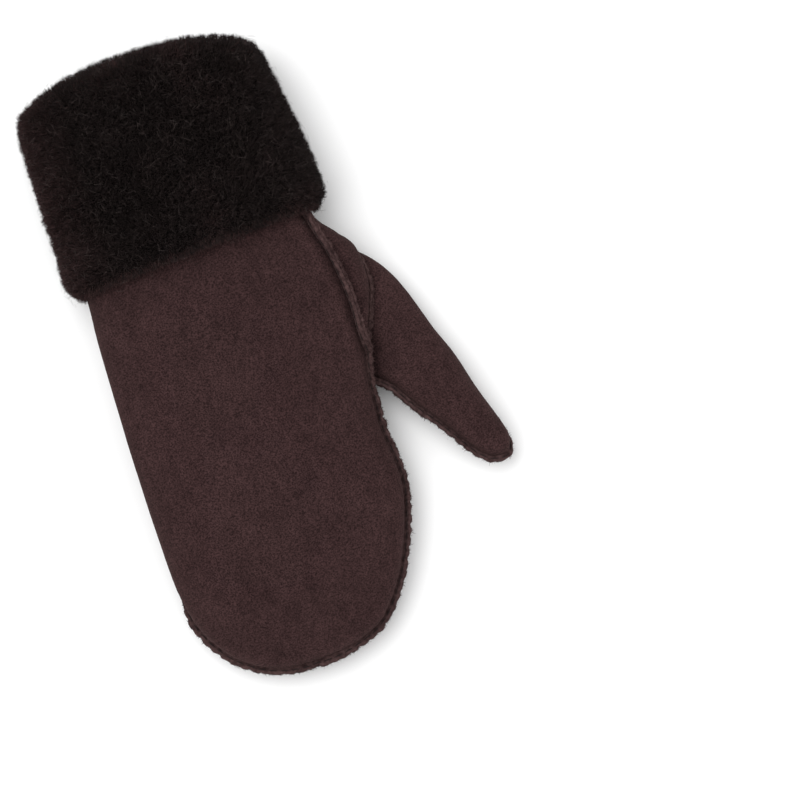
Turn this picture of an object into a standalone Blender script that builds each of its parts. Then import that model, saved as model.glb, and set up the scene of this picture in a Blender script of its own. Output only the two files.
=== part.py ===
"""A sheepskin mitten for the right hand, lying on its palm with the back of the hand up.

One suede shell folds round the little-finger side and closes in a raised seam that runs round the
fingertips and up the index side. A thumb of two panels is let into the palm. Wool pile lines the
hand and the thumb, and a turned-back wool cuff covers the sleeve and rolls into its mouth.

The fingertips point along -Y, the thumb lies on the +X side, and the mitten rests on z = 0.
"""

import functools
import math

import bmesh
import bpy
import numpy as np
from mathutils import Vector
from mathutils.bvhtree import BVHTree

MM = 0.001

# Hand shell
HAND_LENGTH = 181.5 * MM  # cuff's lower edge to the fingertips
HAND_WIDTH = 110 * MM
HAND_THICKNESS = 38 * MM
SLEEVE_LENGTH = 80 * MM  # what the cuff covers
LEATHER = 1.8 * MM

# Thumb, measured from its root, the point where it leaves the hand's side
THUMB_ROOT_ASIDE = 60 * MM  # from the hand's middle line
THUMB_ROOT_DOWN = 57 * MM  # from the cuff's lower edge
THUMB_LENGTH = 78 * MM
THUMB_WIDTH = 27 * MM
THUMB_BASE_WIDTH = 68 * MM  # across the part that is let into the palm
THUMB_THICKNESS = 25 * MM
THUMB_ANGLE = math.radians(27)  # from the fingers' direction

# Where the palm stretches over the thumb's base
BULGE_OUT = 17 * MM  # sideways, past the hand's own side
BULGE_LIFT = 6.5 * MM  # off the surface that the mitten lies on
BULGE_REACH = 45 * MM  # radius of the lifted area

# Raised seams
SEAM_WIDTH = 3.2 * MM
SEAM_HEIGHT = 2.8 * MM
SEAM_STEP = 6.5 * MM  # spacing of the points along a seam

# Wool
LINING_PILE = 4.5 * MM
THUMB_PILE = 3.0 * MM
# Where the thumb's own pile begins, as a share of the thumb's length past its root
THUMB_LINING_START = 0.0
CUFF_PILE = 7.0 * MM  # at the cuff's sides
CUFF_PILE_ON_TOP = 10.0 * MM
CUFF_RIM = 9.0 * MM  # how far the wool stands past the sleeve's end
CUFF_LIP = 12 * MM  # how far the cuff's wool reaches into the mouth
CUFF_TILT = 0.045  # slope of the cuff's lower edge across the hand
CUFF_PALM_RISE = 15 * MM  # how much shorter the cuff is on the palm side
CUFF_BOW = 0.10  # share of the sleeve's length that its corners fall short
TUFT_RELIEF = 0.8 * MM
PARTING_DEPTH = 2.0 * MM  # of the wool over the cuff's own joint

CLEARANCE = 0.3 * MM  # between pieces that touch
LINING_CLEARANCE = 0.8 * MM
LIP_GAP = 1.6 * MM  # between the lining's end and the cuff's inner edge

# Shares of the hand's sizes. along: of HAND_LENGTH, or of SLEEVE_LENGTH where negative.
# left, right: of HAND_WIDTH. top, edge, under: of HAND_THICKNESS.
HAND_COLUMNS = ("along", "left", "right", "top", "edge", "under")
HAND_SECTIONS = (
    (-1.25, -0.390, 0.455, 0.930, 0.540, 0.170),
    (-1.00, -0.395, 0.465, 0.940, 0.540, 0.165),
    (-0.50, -0.403, 0.505, 0.960, 0.520, 0.160),
    (-0.25, -0.406, 0.518, 0.970, 0.510, 0.150),
    (0.00, -0.418, 0.512, 0.985, 0.490, 0.130),
    (0.13, -0.432, 0.498, 1.000, 0.540, 0.070),
    (0.30, -0.441, 0.512, 1.000, 0.630, 0.000),
    (0.38, -0.448, 0.516, 0.990, 0.600, -0.020),
    (0.45, -0.454, 0.511, 0.980, 0.520, -0.026),
    (0.53, -0.460, 0.502, 0.940, 0.440, -0.026),
    (0.65, -0.464, 0.514, 0.890, 0.380, -0.026),
    (0.74, -0.459, 0.478, 0.830, 0.370, -0.026),
    (0.83, -0.432, 0.418, 0.760, 0.350, -0.015),
    (0.905, -0.370, 0.340, 0.665, 0.330, 0.030),
    (0.96, -0.276, 0.254, 0.560, 0.320, 0.110),
    (0.989, -0.180, 0.140, 0.450, 0.320, 0.200),
    (1.00, -0.100, 0.050, 0.345, 0.320, 0.295),
)
HAND_ROUNDNESS = 2.6  # power of the sections' superellipse: 2 is an ellipse
HAND_ROWS = 22
HAND_AROUND = 26

# Shares of the thumb's sizes. along, across: of THUMB_LENGTH, from the root along and across the
# thumb. base: of THUMB_BASE_WIDTH, and blade: of THUMB_WIDTH; they add up to the half width.
# top, edge, under: of THUMB_THICKNESS.
THUMB_COLUMNS = ("along", "across", "base", "blade", "top", "edge", "under")
THUMB_SECTIONS = (
    (-0.937, -0.342, 0.040, 0.00, 0.36, 0.33, 0.30),
    (-0.915, -0.335, 0.150, 0.00, 0.45, 0.36, 0.20),
    (-0.779, -0.272, 0.290, 0.00, 0.80, 0.38, 0.08),
    (-0.595, -0.179, 0.370, 0.00, 1.05, 0.40, 0.08),
    (-0.408, -0.066, 0.395, 0.00, 1.05, 0.41, 0.08),
    (-0.206, 0.047, 0.375, 0.00, 0.82, 0.42, 0.08),
    (0.000, 0.090, 0.180, 0.37, 0.80, 0.41, 0.08),
    (0.250, 0.120, 0.040, 0.485, 0.85, 0.43, 0.08),
    (0.420, 0.118, 0.000, 0.525, 0.94, 0.44, 0.08),
    (0.640, 0.111, 0.000, 0.404, 0.92, 0.44, 0.08),
    (0.850, 0.104, 0.000, 0.322, 0.80, 0.44, 0.08),
    (0.930, 0.099, 0.000, 0.260, 0.72, 0.44, 0.14),
    (0.980, 0.090, 0.000, 0.170, 0.60, 0.44, 0.28),
    (1.000, 0.082, 0.000, 0.055, 0.48, 0.44, 0.40),
)
THUMB_ROUNDNESS = 2.3
THUMB_ROWS = 18
THUMB_AROUND = 18

# How far the palm is pushed out over the thumb's base: along, as above, and a share of BULGE_OUT.
BULGE_COLUMNS = ("along", "out")
BULGE_PROFILE = (
    (-0.01, 0.00),
    (0.02, 0.22),
    (0.06, 0.62),
    (0.09, 0.88),
    (0.13, 1.00),
    (0.19, 0.96),
    (0.23, 0.80),
    (0.27, 0.60),
    (0.31, 0.38),
    (0.36, 0.14),
    (0.42, 0.00),
)

# Routes of the seams on their bodies. along: as in the sections.
# aside: of HAND_WIDTH, on the back of the hand.
BACK_COLUMNS = ("along", "aside")
HAND_SEAM = (
    (-0.020, 0.494),
    (0.015, 0.503),
    (0.050, 0.518),
    (0.088, 0.534),
    (0.132, 0.545),
    (0.215, 0.556),
    (0.300, 0.550),
    (0.353, 0.550),
    (0.400, 0.550),
    (1.000, 0.550),
)
# angle: in degrees from the thumb side's edge, over the back to 180 at the other side.
SEAM_COLUMNS = ("along", "angle")
HAND_SEAM_BACK = (
    (1.00, 180.0),
    (0.92, 180.0),
    (0.83, 180.0),
)
THUMB_SEAM = (
    (-0.50, -62.0),
    (-0.10, -55.0),
    (0.30, -62.0),
    (0.70, -58.0),
    (1.00, -40.0),
)
THUMB_SEAM_BACK = (
    (1.00, 170.0),
    (0.60, 166.0),
    (0.20, 166.0),
    (0.02, 172.0),
)

# Soft folds in the shell. along, aside: the middle, in shares of HAND_LENGTH and HAND_WIDTH.
# length, width: of HAND_WIDTH. turn: degrees from the fingers' direction. depth: of LEATHER.
FOLD_COLUMNS = ("along", "aside", "length", "width", "turn", "depth")
FOLDS = (
    (0.13, 0.572, 0.22, 0.035, -2.0, -0.5),
    (0.15, 0.612, 0.20, 0.040, -4.0, 0.6),
    (0.10, -0.20, 0.30, 0.100, -60.0, 0.35),
    (0.45, 0.30, 0.35, 0.110, -30.0, 0.40),
    (0.84, 0.10, 0.28, 0.080, 70.0, 0.35),
    (0.72, -0.28, 0.30, 0.090, 25.0, 0.30),
)

# The cuff's section. side: "out" over the sleeve, "rim" past its end, "in" inside the mouth and
# "slot" against the sleeve. place: share of the sleeve's length for "out", of CUFF_RIM for "rim"
# and of CUFF_LIP for "in". pile: share of the wool's thickness on that side.
CUFF_COLUMNS = ("side", "place", "pile")
CUFF_SECTION = (
    ("out", 0.000, 0.30),
    ("out", -0.020, 0.75),
    ("out", 0.030, 1.00),
    ("out", 0.150, 1.08),
    ("out", 0.300, 1.04),
    ("out", 0.450, 1.06),
    ("out", 0.600, 1.04),
    ("out", 0.750, 1.06),
    ("out", 0.900, 1.04),
    ("rim", 0.250, 1.00),
    ("rim", 0.750, 0.62),
    ("rim", 1.000, 0.05),
    ("rim", 0.800, -0.55),
    ("rim", 0.200, -0.95),
    ("in", 0.600, 1.05),
    ("in", 1.000, 0.60),
)
CUFF_AROUND = 40

SUEDE = ("suede", (0.050, 0.026, 0.027), 0.92)
RAW_EDGE = ("raw_edge", (0.060, 0.034, 0.034), 0.95)
WOOL = ("wool", (0.016, 0.010, 0.010), 0.95)


@functools.cache
def spline(rows, at):
    """A smooth curve through the rows, at a place counted in rows."""
    points = np.asarray(rows, float)
    last = len(points) - 1
    k = int(min(max(at, 0.0), last - 1e-9))
    f = at - k
    b, c = points[k], points[k + 1]
    a = points[k - 1] if k > 0 else 2 * b - c
    d = points[k + 2] if k + 2 <= last else 2 * c - b
    return b + 0.5 * f * (c - a + f * (2 * a - 5 * b + 4 * c - d + f * (3 * (b - c) + d - a)))


@functools.cache
def place_of(rows, along):
    """The place, counted in rows, where the first column reaches along."""
    places = np.linspace(0.0, len(rows) - 1, 20 * len(rows))
    values = [spline(rows, p)[0] for p in places]
    return float(np.interp(along, values, places))


def signed_power(value, power):
    return math.copysign(abs(value) ** power, value)


def shrunk(size, inset, least):
    """A half size less the inset, but never under a least share of it."""
    return max(size - inset, least * size)


def section_point(angle, half, rise, drop, roundness):
    """A point of a section, from the middle of its edge line."""
    up = signed_power(math.sin(angle), 2 / roundness)
    across = half * signed_power(math.cos(angle), 2 / roundness)
    return across, up * (rise if up > 0 else drop)


def fold_height(x, y):
    """How far the soft folds raise the back of the hand at a place."""
    total = 0.0
    for row in FOLDS:
        fold = dict(zip(FOLD_COLUMNS, row))
        turn = math.radians(fold["turn"])
        dx = x - fold["aside"] * HAND_WIDTH
        dy = y + fold["along"] * HAND_LENGTH
        along = (dy * math.cos(turn) + dx * math.sin(turn)) / (fold["length"] * HAND_WIDTH)
        across = (dx * math.cos(turn) - dy * math.sin(turn)) / (fold["width"] * HAND_WIDTH)
        total += fold["depth"] * LEATHER * math.exp(-(along**2) - across**2)
    return total


def bulge_at(along):
    """Share of the bulge that the thumb's base gives the palm's side."""
    first, last = BULGE_PROFILE[0][0], BULGE_PROFILE[-1][0]
    if not first < along < last:
        return 0.0
    return max(0.0, spline(BULGE_PROFILE, place_of(BULGE_PROFILE, along))[1])


def lift_at(x, y):
    """Share of the lift that the thumb's base gives the palm's underside."""
    dx = x - (THUMB_ROOT_ASIDE - THUMB_LENGTH * 0.28)
    dy = y + (THUMB_ROOT_DOWN - THUMB_LENGTH * 0.21)
    return math.exp(-((math.hypot(dx, dy) / BULGE_REACH) ** 4))


def hand_point(at, angle, inset=0.0):
    """A point of the hand's surface, or of one that lies inset inside it."""
    row = dict(zip(HAND_COLUMNS, spline(HAND_SECTIONS, at)))
    middle = HAND_WIDTH * (row["left"] + row["right"]) / 2
    half = shrunk(HAND_WIDTH * (row["right"] - row["left"]) / 2, inset, 0.2)
    rise = shrunk(HAND_THICKNESS * (row["top"] - row["edge"]), inset, 0.1)
    drop = shrunk(HAND_THICKNESS * (row["edge"] - row["under"]), inset, 0.1)
    across, up = section_point(angle, half, rise, drop, HAND_ROUNDNESS)
    x = middle + across
    z = HAND_THICKNESS * row["edge"] + up
    if row["along"] < 0:
        y = -row["along"] * SLEEVE_LENGTH * (1 - CUFF_BOW * math.cos(angle) ** 2)
    else:
        y = -row["along"] * (HAND_LENGTH - inset)
    side = max(0.0, math.cos(angle)) ** 2 * max(0.0, math.cos(angle + math.radians(18)))
    x += BULGE_OUT * side * bulge_at(row["along"])
    z += max(0.0, -math.sin(angle)) ** 0.5 * BULGE_LIFT * lift_at(x, y)
    if math.sin(angle) > 0 and row["along"] > 0:
        z += math.sin(angle) ** 0.5 * fold_height(x, y)
    return x, y, max(z, inset)


def thumb_line(at):
    """The thumb's middle line in plan, from the palm to the tip."""
    along, across = spline(THUMB_SECTIONS, at)[:2] * THUMB_LENGTH
    x = THUMB_ROOT_ASIDE + along * math.sin(THUMB_ANGLE) + across * math.cos(THUMB_ANGLE)
    y = -THUMB_ROOT_DOWN - along * math.cos(THUMB_ANGLE) + across * math.sin(THUMB_ANGLE)
    return np.array([x, y])


def thumb_point(at, angle, inset=0.0, share=1.0):
    """A point of the thumb's surface, or share of the way to it from the middle line."""
    row = dict(zip(THUMB_COLUMNS, spline(THUMB_SECTIONS, at)))
    ahead = thumb_line(at + 0.01) - thumb_line(at - 0.01)
    ahead /= np.linalg.norm(ahead)
    outward = np.array([-ahead[1], ahead[0]])
    half = shrunk(row["base"] * THUMB_BASE_WIDTH + row["blade"] * THUMB_WIDTH, inset, 0.2)
    rise = shrunk(THUMB_THICKNESS * (row["top"] - row["edge"]), inset, 0.1)
    drop = shrunk(THUMB_THICKNESS * (row["edge"] - row["under"]), inset, 0.1)
    across, up = section_point(angle, half, rise, drop, THUMB_ROUNDNESS)
    done = at / (len(THUMB_SECTIONS) - 1)
    pull = inset * ((1 - done) ** 6 - done**6)
    x, y = thumb_line(at) + outward * across * share + ahead * pull
    return x, y, max(THUMB_THICKNESS * row["edge"] + up * share, inset)


def even_places(point, first, last, count):
    """Places along a body, spaced evenly by how far its outline moves between them."""
    fine = np.linspace(first, last, 30 * int(last - first + 1))
    angles = (0.0, 0.5 * math.pi, math.pi, 1.5 * math.pi)
    rings = np.array([[point(at, angle) for angle in angles] for at in fine])
    steps = np.linalg.norm(np.diff(rings, axis=0), axis=2).max(axis=1)
    run = np.concatenate([[0.0], np.cumsum(steps)])
    return np.interp(np.linspace(0.0, run[-1], count), run, fine)


def rings_of(point, places, around, inset):
    turns = np.linspace(0.0, 2 * math.pi, around, endpoint=False)
    return [[point(at, turn, inset) for turn in turns] for at in places]


def make_object(name, points, faces):
    """A closed mesh object with its faces turned outwards."""
    mesh = bpy.data.meshes.new(name)
    mesh.from_pydata([tuple(p) for p in points], [], faces)
    built = bmesh.new()
    built.from_mesh(mesh)
    bmesh.ops.remove_doubles(built, verts=built.verts, dist=0.00001)
    bmesh.ops.recalc_face_normals(built, faces=built.faces)
    if built.calc_volume(signed=True) < 0:
        bmesh.ops.reverse_faces(built, faces=built.faces)
    bmesh.ops.triangulate(built, faces=built.faces)
    built.to_mesh(mesh)
    built.free()
    thing = bpy.data.objects.new(name, mesh)
    bpy.context.collection.objects.link(thing)
    return thing


def loft(name, rings, ring_of_rings=False):
    """A body through rings of points, capped at its ends or joined end to end."""
    count = len(rings[0])
    points = [p for ring in rings for p in ring]
    faces = []
    for i in range(len(rings) if ring_of_rings else len(rings) - 1):
        here, there = i * count, (i + 1) % len(rings) * count
        for j in range(count):
            k = (j + 1) % count
            faces.append((here + j, here + k, there + k, there + j))
    if not ring_of_rings:
        faces.append(tuple(range(count)))
        faces.append(tuple(range(len(points) - count, len(points))))
    return make_object(name, points, faces)


def combine(target, tool, operation, keep=False):
    """Cuts, joins or crosses the target with the tool, which goes unless it is kept."""
    change = target.modifiers.new("change", "BOOLEAN")
    change.operation = operation
    change.solver = "EXACT"
    change.object = tool
    bpy.context.view_layer.update()
    seen = target.evaluated_get(bpy.context.evaluated_depsgraph_get())
    mesh = bpy.data.meshes.new_from_object(seen)
    target.modifiers.clear()
    target.data = mesh
    if not keep:
        bpy.data.objects.remove(tool)
    return target


def hand_body(name, inset, first=1.0, rows=HAND_ROWS, around=HAND_AROUND):
    places = even_places(hand_point, first, len(HAND_SECTIONS) - 1, rows)
    return loft(name, rings_of(hand_point, places, around, inset))


def thumb_body(name, inset, rows=THUMB_ROWS, around=THUMB_AROUND, first=0.0):
    places = even_places(thumb_point, first, len(THUMB_SECTIONS) - 1, rows)
    return loft(name, rings_of(thumb_point, places, around, inset))


def biggest_body(thing):
    """Drops the loose scraps that a cut leaves."""
    built = bmesh.new()
    built.from_mesh(thing.data)
    left = set(built.verts)
    bodies = []
    while left:
        body = set()
        edge = [left.pop()]
        while edge:
            vert = edge.pop()
            body.add(vert)
            for link in vert.link_edges:
                other = link.other_vert(vert)
                if other in left:
                    left.remove(other)
                    edge.append(other)
        bodies.append(body)
    bodies.sort(key=len, reverse=True)
    for body in bodies[1:]:
        bmesh.ops.delete(built, geom=list(body), context="VERTS")
    built.to_mesh(thing.data)
    built.free()
    return thing


def hand_shell():
    shell = hand_body("hand_shell", 0.0)
    combine(shell, hand_body("hollow", LEATHER, first=0.0), "DIFFERENCE")
    return combine(shell, thumb_body("thumb_way", LEATHER), "DIFFERENCE")


def wool_linings():
    """The pile of the hand with the thumb's root, and the pile of the thumb past them."""
    face = LEATHER + LINING_CLEARANCE
    end = place_of(HAND_SECTIONS, -1 + (CUFF_LIP + LIP_GAP) / (SLEEVE_LENGTH * (1 - CUFF_BOW)))
    lining = hand_body("wool_lining", face, first=end, rows=17, around=22)
    combine(lining, thumb_body("thumb_pile", face, 14, 16, first=1.3), "UNION")
    bare = face + LINING_PILE
    combine(lining, hand_body("hand_way", bare, first=0.0, rows=17, around=22), "DIFFERENCE")
    bare = face + THUMB_PILE
    combine(lining, thumb_body("thumb_way", bare, 12, 16, first=2.0), "DIFFERENCE")
    thumb = bpy.data.objects.new("thumb_lining", lining.data.copy())
    bpy.context.collection.objects.link(thumb)
    start = place_of(THUMB_SECTIONS, THUMB_LINING_START)
    before = place_of(THUMB_SECTIONS, THUMB_LINING_START - CLEARANCE / THUMB_LENGTH)
    combine(thumb, thumb_body("thumb_end", 0.0, first=start), "INTERSECT")
    combine(lining, thumb_body("thumb_room", -CLEARANCE, first=before), "DIFFERENCE")
    return biggest_body(lining), biggest_body(thumb)


def angle_on(rows, along):
    """A seam's angle at a place along its body."""
    return float(np.interp(along, [row[0] for row in rows], [row[1] for row in rows]))


def route(rows, sections, point, inset=0.0):
    """Points along a seam's route on a body."""
    fine = np.linspace(rows[0][0], rows[-1][0], 60)
    ordered = sorted(rows)
    return [
        point(place_of(sections, along), math.radians(angle_on(ordered, along)), inset)
        for along in fine
    ]


def back_route():
    """Points along the hand's seam on its back, found by how far aside they are."""
    points = []
    for along in np.linspace(HAND_SEAM[0][0], HAND_SEAM[-1][0], 70):
        at = place_of(HAND_SECTIONS, float(along))
        aside = spline(HAND_SEAM, place_of(HAND_SEAM, float(along)))[1] * HAND_WIDTH
        low, high = 0.0, math.pi / 2
        for _ in range(20):
            middle = (low + high) / 2
            if hand_point(at, middle)[0] > aside:
                low = middle
            else:
                high = middle
        points.append(hand_point(at, low))
    return points


def resampled(points, step):
    points = np.asarray(points, float)
    run = np.concatenate([[0], np.cumsum(np.linalg.norm(np.diff(points, axis=0), axis=1))])
    count = max(2, int(round(run[-1] / step)) + 1)
    even = np.linspace(0.0, run[-1], count)
    return np.column_stack([np.interp(even, run, points[:, k]) for k in range(3)])


def tree_of(thing):
    return BVHTree.FromPolygons(
        [v.co for v in thing.data.vertices], [tuple(p.vertices) for p in thing.data.polygons]
    )


def outward_at(trees, point):
    """The mean outward direction of the bodies nearest to a point."""
    total = Vector((0.0, 0.0, 0.0))
    for tree in trees:
        total += tree.find_nearest(Vector(point))[1]
    return np.array(total.normalized())


# A raised seam's section, in shares of SEAM_WIDTH and SEAM_HEIGHT: aside, up.
SEAM_SECTION = ((-0.35, -0.40), (-0.50, 0.45), (0.0, 1.0), (0.50, 0.45), (0.35, -0.40))


def seam_body(name, points, trees, closed=False, grow=0.0):
    """A raised ridge along points, standing out from the bodies."""
    count = len(points)
    rings = []
    for i in range(count):
        before = points[(i - 1) % count] if closed else points[max(0, i - 1)]
        after = points[(i + 1) % count] if closed else points[min(count - 1, i + 1)]
        ahead = np.asarray(after) - np.asarray(before)
        ahead /= np.linalg.norm(ahead)
        up = outward_at(trees, points[i])
        up -= ahead * np.dot(up, ahead)
        up /= np.linalg.norm(up)
        side = np.cross(up, ahead)
        ring = []
        for aside, height in SEAM_SECTION:
            out = side * aside * (SEAM_WIDTH + 2 * grow) + up * height * (SEAM_HEIGHT + grow)
            spot = points[i] + out
            spot[2] = max(spot[2], CLEARANCE / 2 - grow)
            ring.append(spot)
        rings.append(ring)
    return loft(name, rings, ring_of_rings=closed)


def hole_route(hand_tree):
    """Where the thumb's surface comes out of the hand's."""
    last = len(THUMB_SECTIONS) - 1
    points = []
    for turn in np.linspace(0.0, 2 * math.pi, 120, endpoint=False):
        hidden, shown = 0.0, None
        for at in np.linspace(0.0, 0.6 * last, 80):
            if outside(hand_tree, thumb_point(at, turn)):
                shown = at
                break
            hidden = at
        if shown is None:
            continue
        for _ in range(20):
            middle = (hidden + shown) / 2
            if outside(hand_tree, thumb_point(middle, turn)):
                shown = middle
            else:
                hidden = middle
        points.append(thumb_point(shown, turn))
    return points


def outside(tree, point):
    spot = Vector(point)
    nearest, normal, _, _ = tree.find_nearest(spot)
    return (spot - nearest).dot(normal) > 0


def seam_routes(hand_tree):
    hand = back_route()
    hand += route(HAND_SEAM_BACK, HAND_SECTIONS, hand_point)
    thumb = route(THUMB_SEAM, THUMB_SECTIONS, thumb_point)
    thumb += route(THUMB_SEAM_BACK, THUMB_SECTIONS, thumb_point)
    return resampled(hand, SEAM_STEP), resampled(thumb, SEAM_STEP), hole_route(hand_tree)


def seams(hand, thumb):
    """The three raised seams, each clear of the bodies and of the others."""
    trees = (tree_of(hand), tree_of(thumb))
    hand_line, thumb_line_, hole_line = seam_routes(trees[0])
    hole_line = resampled(hole_line + hole_line[:1], SEAM_STEP)[:-1]
    built = [
        seam_body("hand_seam", hand_line, trees[:1]),
        seam_body("thumb_hole_seam", hole_line, trees, closed=True),
        seam_body("thumb_seam", thumb_line_, trees[1:]),
    ]
    for seam in built:
        combine(seam, hand_body("hand_room", -CLEARANCE), "DIFFERENCE")
        combine(seam, thumb_body("thumb_room", -CLEARANCE), "DIFFERENCE")
    room = seam_body("room", hand_line, trees[:1], grow=CLEARANCE)
    combine(built[1], room, "DIFFERENCE", keep=True)
    combine(built[2], room, "DIFFERENCE")
    room = seam_body("room", hole_line, trees, closed=True, grow=CLEARANCE)
    combine(built[2], room, "DIFFERENCE")
    return [biggest_body(seam) for seam in built]


def panel_side(name, gap):
    """The part of the thumb on the palm side of its two seams, widened by a gap."""
    last = len(THUMB_SECTIONS) - 1
    out, back = sorted(THUMB_SEAM), sorted(THUMB_SEAM_BACK)
    widen = gap / (THUMB_WIDTH / 2)
    rings = []
    for at in np.linspace(1.8, last, 24):
        along = spline(THUMB_SECTIONS, at)[0]
        start = math.radians(angle_on(back, along)) - widen
        end = math.radians(angle_on(out, along)) + 2 * math.pi + widen
        middle = np.array(thumb_point(at, 0.0, share=0.0))
        aside = np.array(thumb_point(at, math.radians(60), share=0.2)) - middle
        middle = middle + aside / np.linalg.norm(aside) * gap
        ring = [middle]
        for turn in np.linspace(start, end, 14):
            spot = np.array(thumb_point(at, turn))
            ring.append(spot + (spot - middle) * 0.35)
        rings.append(np.array(ring))
    for end, inner in ((0, 2), (-1, -4)):
        ahead = rings[end].mean(axis=0) - rings[inner].mean(axis=0)
        ahead[2] = 0.0
        past = rings[end] + ahead / np.linalg.norm(ahead) * THUMB_WIDTH
        rings.insert(0 if end == 0 else len(rings), past)
    return loft(name, rings)


def thumb_panels():
    """The thumb's sheath, cut into its palm-side and back-side panels."""
    inner = thumb_body("thumb_inner", 0.0)
    combine(inner, thumb_body("hollow", LEATHER), "DIFFERENCE")
    outer = bpy.data.objects.new("thumb_outer", inner.data.copy())
    bpy.context.collection.objects.link(outer)
    combine(inner, panel_side("side", 0.0), "INTERSECT")
    combine(outer, panel_side("side", CLEARANCE), "DIFFERENCE")
    for panel in (inner, outer):
        combine(panel, hand_body("hand_room", -CLEARANCE), "DIFFERENCE")
    return biggest_body(inner), biggest_body(outer)


def cuff_spot(at, turn, lift):
    """A point lift outside the sleeve's surface, or inside it where lift is negative."""
    inner = np.array(hand_point(at, turn, 1 * MM))
    outer = np.array(hand_point(at, turn, 0.0))
    out = outer - inner
    out[1] = 0.0
    out /= np.linalg.norm(out) + 1e-12
    return outer + out * lift


def cuff_pile(turn):
    """The wool's thickness on the outside, more on top than at the sides, with tufts."""
    on_top = max(0.0, math.sin(turn)) ** 0.7
    pile = CUFF_PILE + (CUFF_PILE_ON_TOP - CUFF_PILE) * on_top
    seam = math.exp(-((math.degrees(turn) - 172) / 7) ** 2)
    return pile - PARTING_DEPTH * seam


def edge_shift(x, turn):
    """How far the cuff's lower edge is from the line where the hand begins."""
    on_palm = max(0.0, -math.sin(turn)) ** 0.8
    return LEATHER + CUFF_TILT * x + CUFF_PALM_RISE * on_palm


def fur_cuff():
    """The turned-back wool: over the sleeve, round its end and a little way into the mouth."""
    turns = np.linspace(0.0, 2 * math.pi, CUFF_AROUND, endpoint=False)
    rings = []
    for j, turn in enumerate(turns):
        ring = []
        mouth = place_of(HAND_SECTIONS, -1.0)
        end = np.array(hand_point(mouth, turn))
        for i, row in enumerate(CUFF_SECTION):
            part = dict(zip(CUFF_COLUMNS, row))
            tuft = TUFT_RELIEF * math.sin(2.4 * j + 1.9 * i) * math.cos(1.3 * j - 2.2 * i)
            if part["side"] == "out":
                at = place_of(HAND_SECTIONS, -part["place"]) if part["place"] > 0 else place_of(HAND_SECTIONS, 0.0)
                lift = CLEARANCE + part["pile"] * cuff_pile(turn) + tuft
                spot = cuff_spot(at, turn, lift)
                spot[1] += (edge_shift(spot[0], turn) + tuft) * (1 - max(0.0, part["place"])) ** 2
            elif part["side"] == "rim":
                thick = cuff_pile(turn) if part["pile"] > 0 else LEATHER + CLEARANCE + LINING_PILE
                spot = cuff_spot(mouth, turn, part["pile"] * thick + 0.6 * tuft)
                spot[1] = end[1] + part["place"] * CUFF_RIM + 0.6 * tuft
            else:
                lift = -(LEATHER + CLEARANCE + part["pile"] * LINING_PILE)
                spot = cuff_spot(mouth, turn, lift)
                spot[1] = end[1] - part["place"] * CUFF_LIP
            spot[2] = max(spot[2], 0.0)
            ring.append(spot)
        spot = cuff_spot(mouth, turn, -LEATHER / 2)
        spot[1] = end[1] - CUFF_LIP
        ring.append(spot)
        for along in (-0.75, -0.5, -0.25, 0.0):
            spot = cuff_spot(place_of(HAND_SECTIONS, along), turn, -LEATHER / 2)
            spot[1] += edge_shift(spot[0], turn) * (1 + along) ** 2
            ring.append(spot)
        rings.append(ring)
    cuff = loft("fur_cuff", rings, ring_of_rings=True)
    past_end = place_of(HAND_SECTIONS, -1 - CLEARANCE / SLEEVE_LENGTH)
    room = hand_body("room", -CLEARANCE, first=past_end)
    combine(room, hand_body("core", LEATHER + CLEARANCE, first=0.0), "DIFFERENCE")
    return biggest_body(combine(cuff, room, "DIFFERENCE"))


def paint(thing, look):
    """Gives the object a material of its own."""
    kind, colour, roughness = look
    material = bpy.data.materials.new(f"{thing.name}_{kind}")
    material.use_nodes = True
    shader = material.node_tree.nodes["Principled BSDF"]
    shader.inputs["Base Color"].default_value = (*colour, 1.0)
    shader.inputs["Roughness"].default_value = roughness
    shader.inputs["Metallic"].default_value = 0.0
    material.diffuse_color = (*colour, 1.0)
    thing.data.materials.clear()
    thing.data.materials.append(material)


def finish(thing):
    """Triangles and smooth shading."""
    built = bmesh.new()
    built.from_mesh(thing.data)
    bmesh.ops.remove_doubles(built, verts=built.verts, dist=0.000001)
    bmesh.ops.triangulate(built, faces=built.faces)
    built.to_mesh(thing.data)
    built.free()
    for face in thing.data.polygons:
        face.use_smooth = True


def centre(things):
    """Puts the middle of the mitten's base on the origin."""
    corners = np.array([v.co for thing in things for v in thing.data.vertices])
    low, high = corners.min(axis=0), corners.max(axis=0)
    for thing in things:
        for vert in thing.data.vertices:
            vert.co.x -= (low[0] + high[0]) / 2
            vert.co.y -= (low[1] + high[1]) / 2


def main():
    for thing in list(bpy.data.objects):
        bpy.data.objects.remove(thing)
    hand = hand_body("hand", 0.0)
    thumb = thumb_body("thumb", 0.0)
    ridges = seams(hand, thumb)
    bpy.data.objects.remove(hand)
    bpy.data.objects.remove(thumb)
    skins = [hand_shell(), *thumb_panels()]
    wools = [*wool_linings(), fur_cuff()]
    for things, look in ((skins, SUEDE), (ridges, RAW_EDGE), (wools, WOOL)):
        for thing in things:
            finish(thing)
            paint(thing, look)
    centre(skins + ridges + wools)


main()
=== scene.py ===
"""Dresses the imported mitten: suede, raised raw-edged seams, wool lining and fur cuff, on a pale floor."""

import math

import bmesh
import bpy
import numpy as np
from mathutils import Matrix, Vector, noise
from mathutils.bvhtree import BVHTree
from mathutils.kdtree import KDTree


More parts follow.
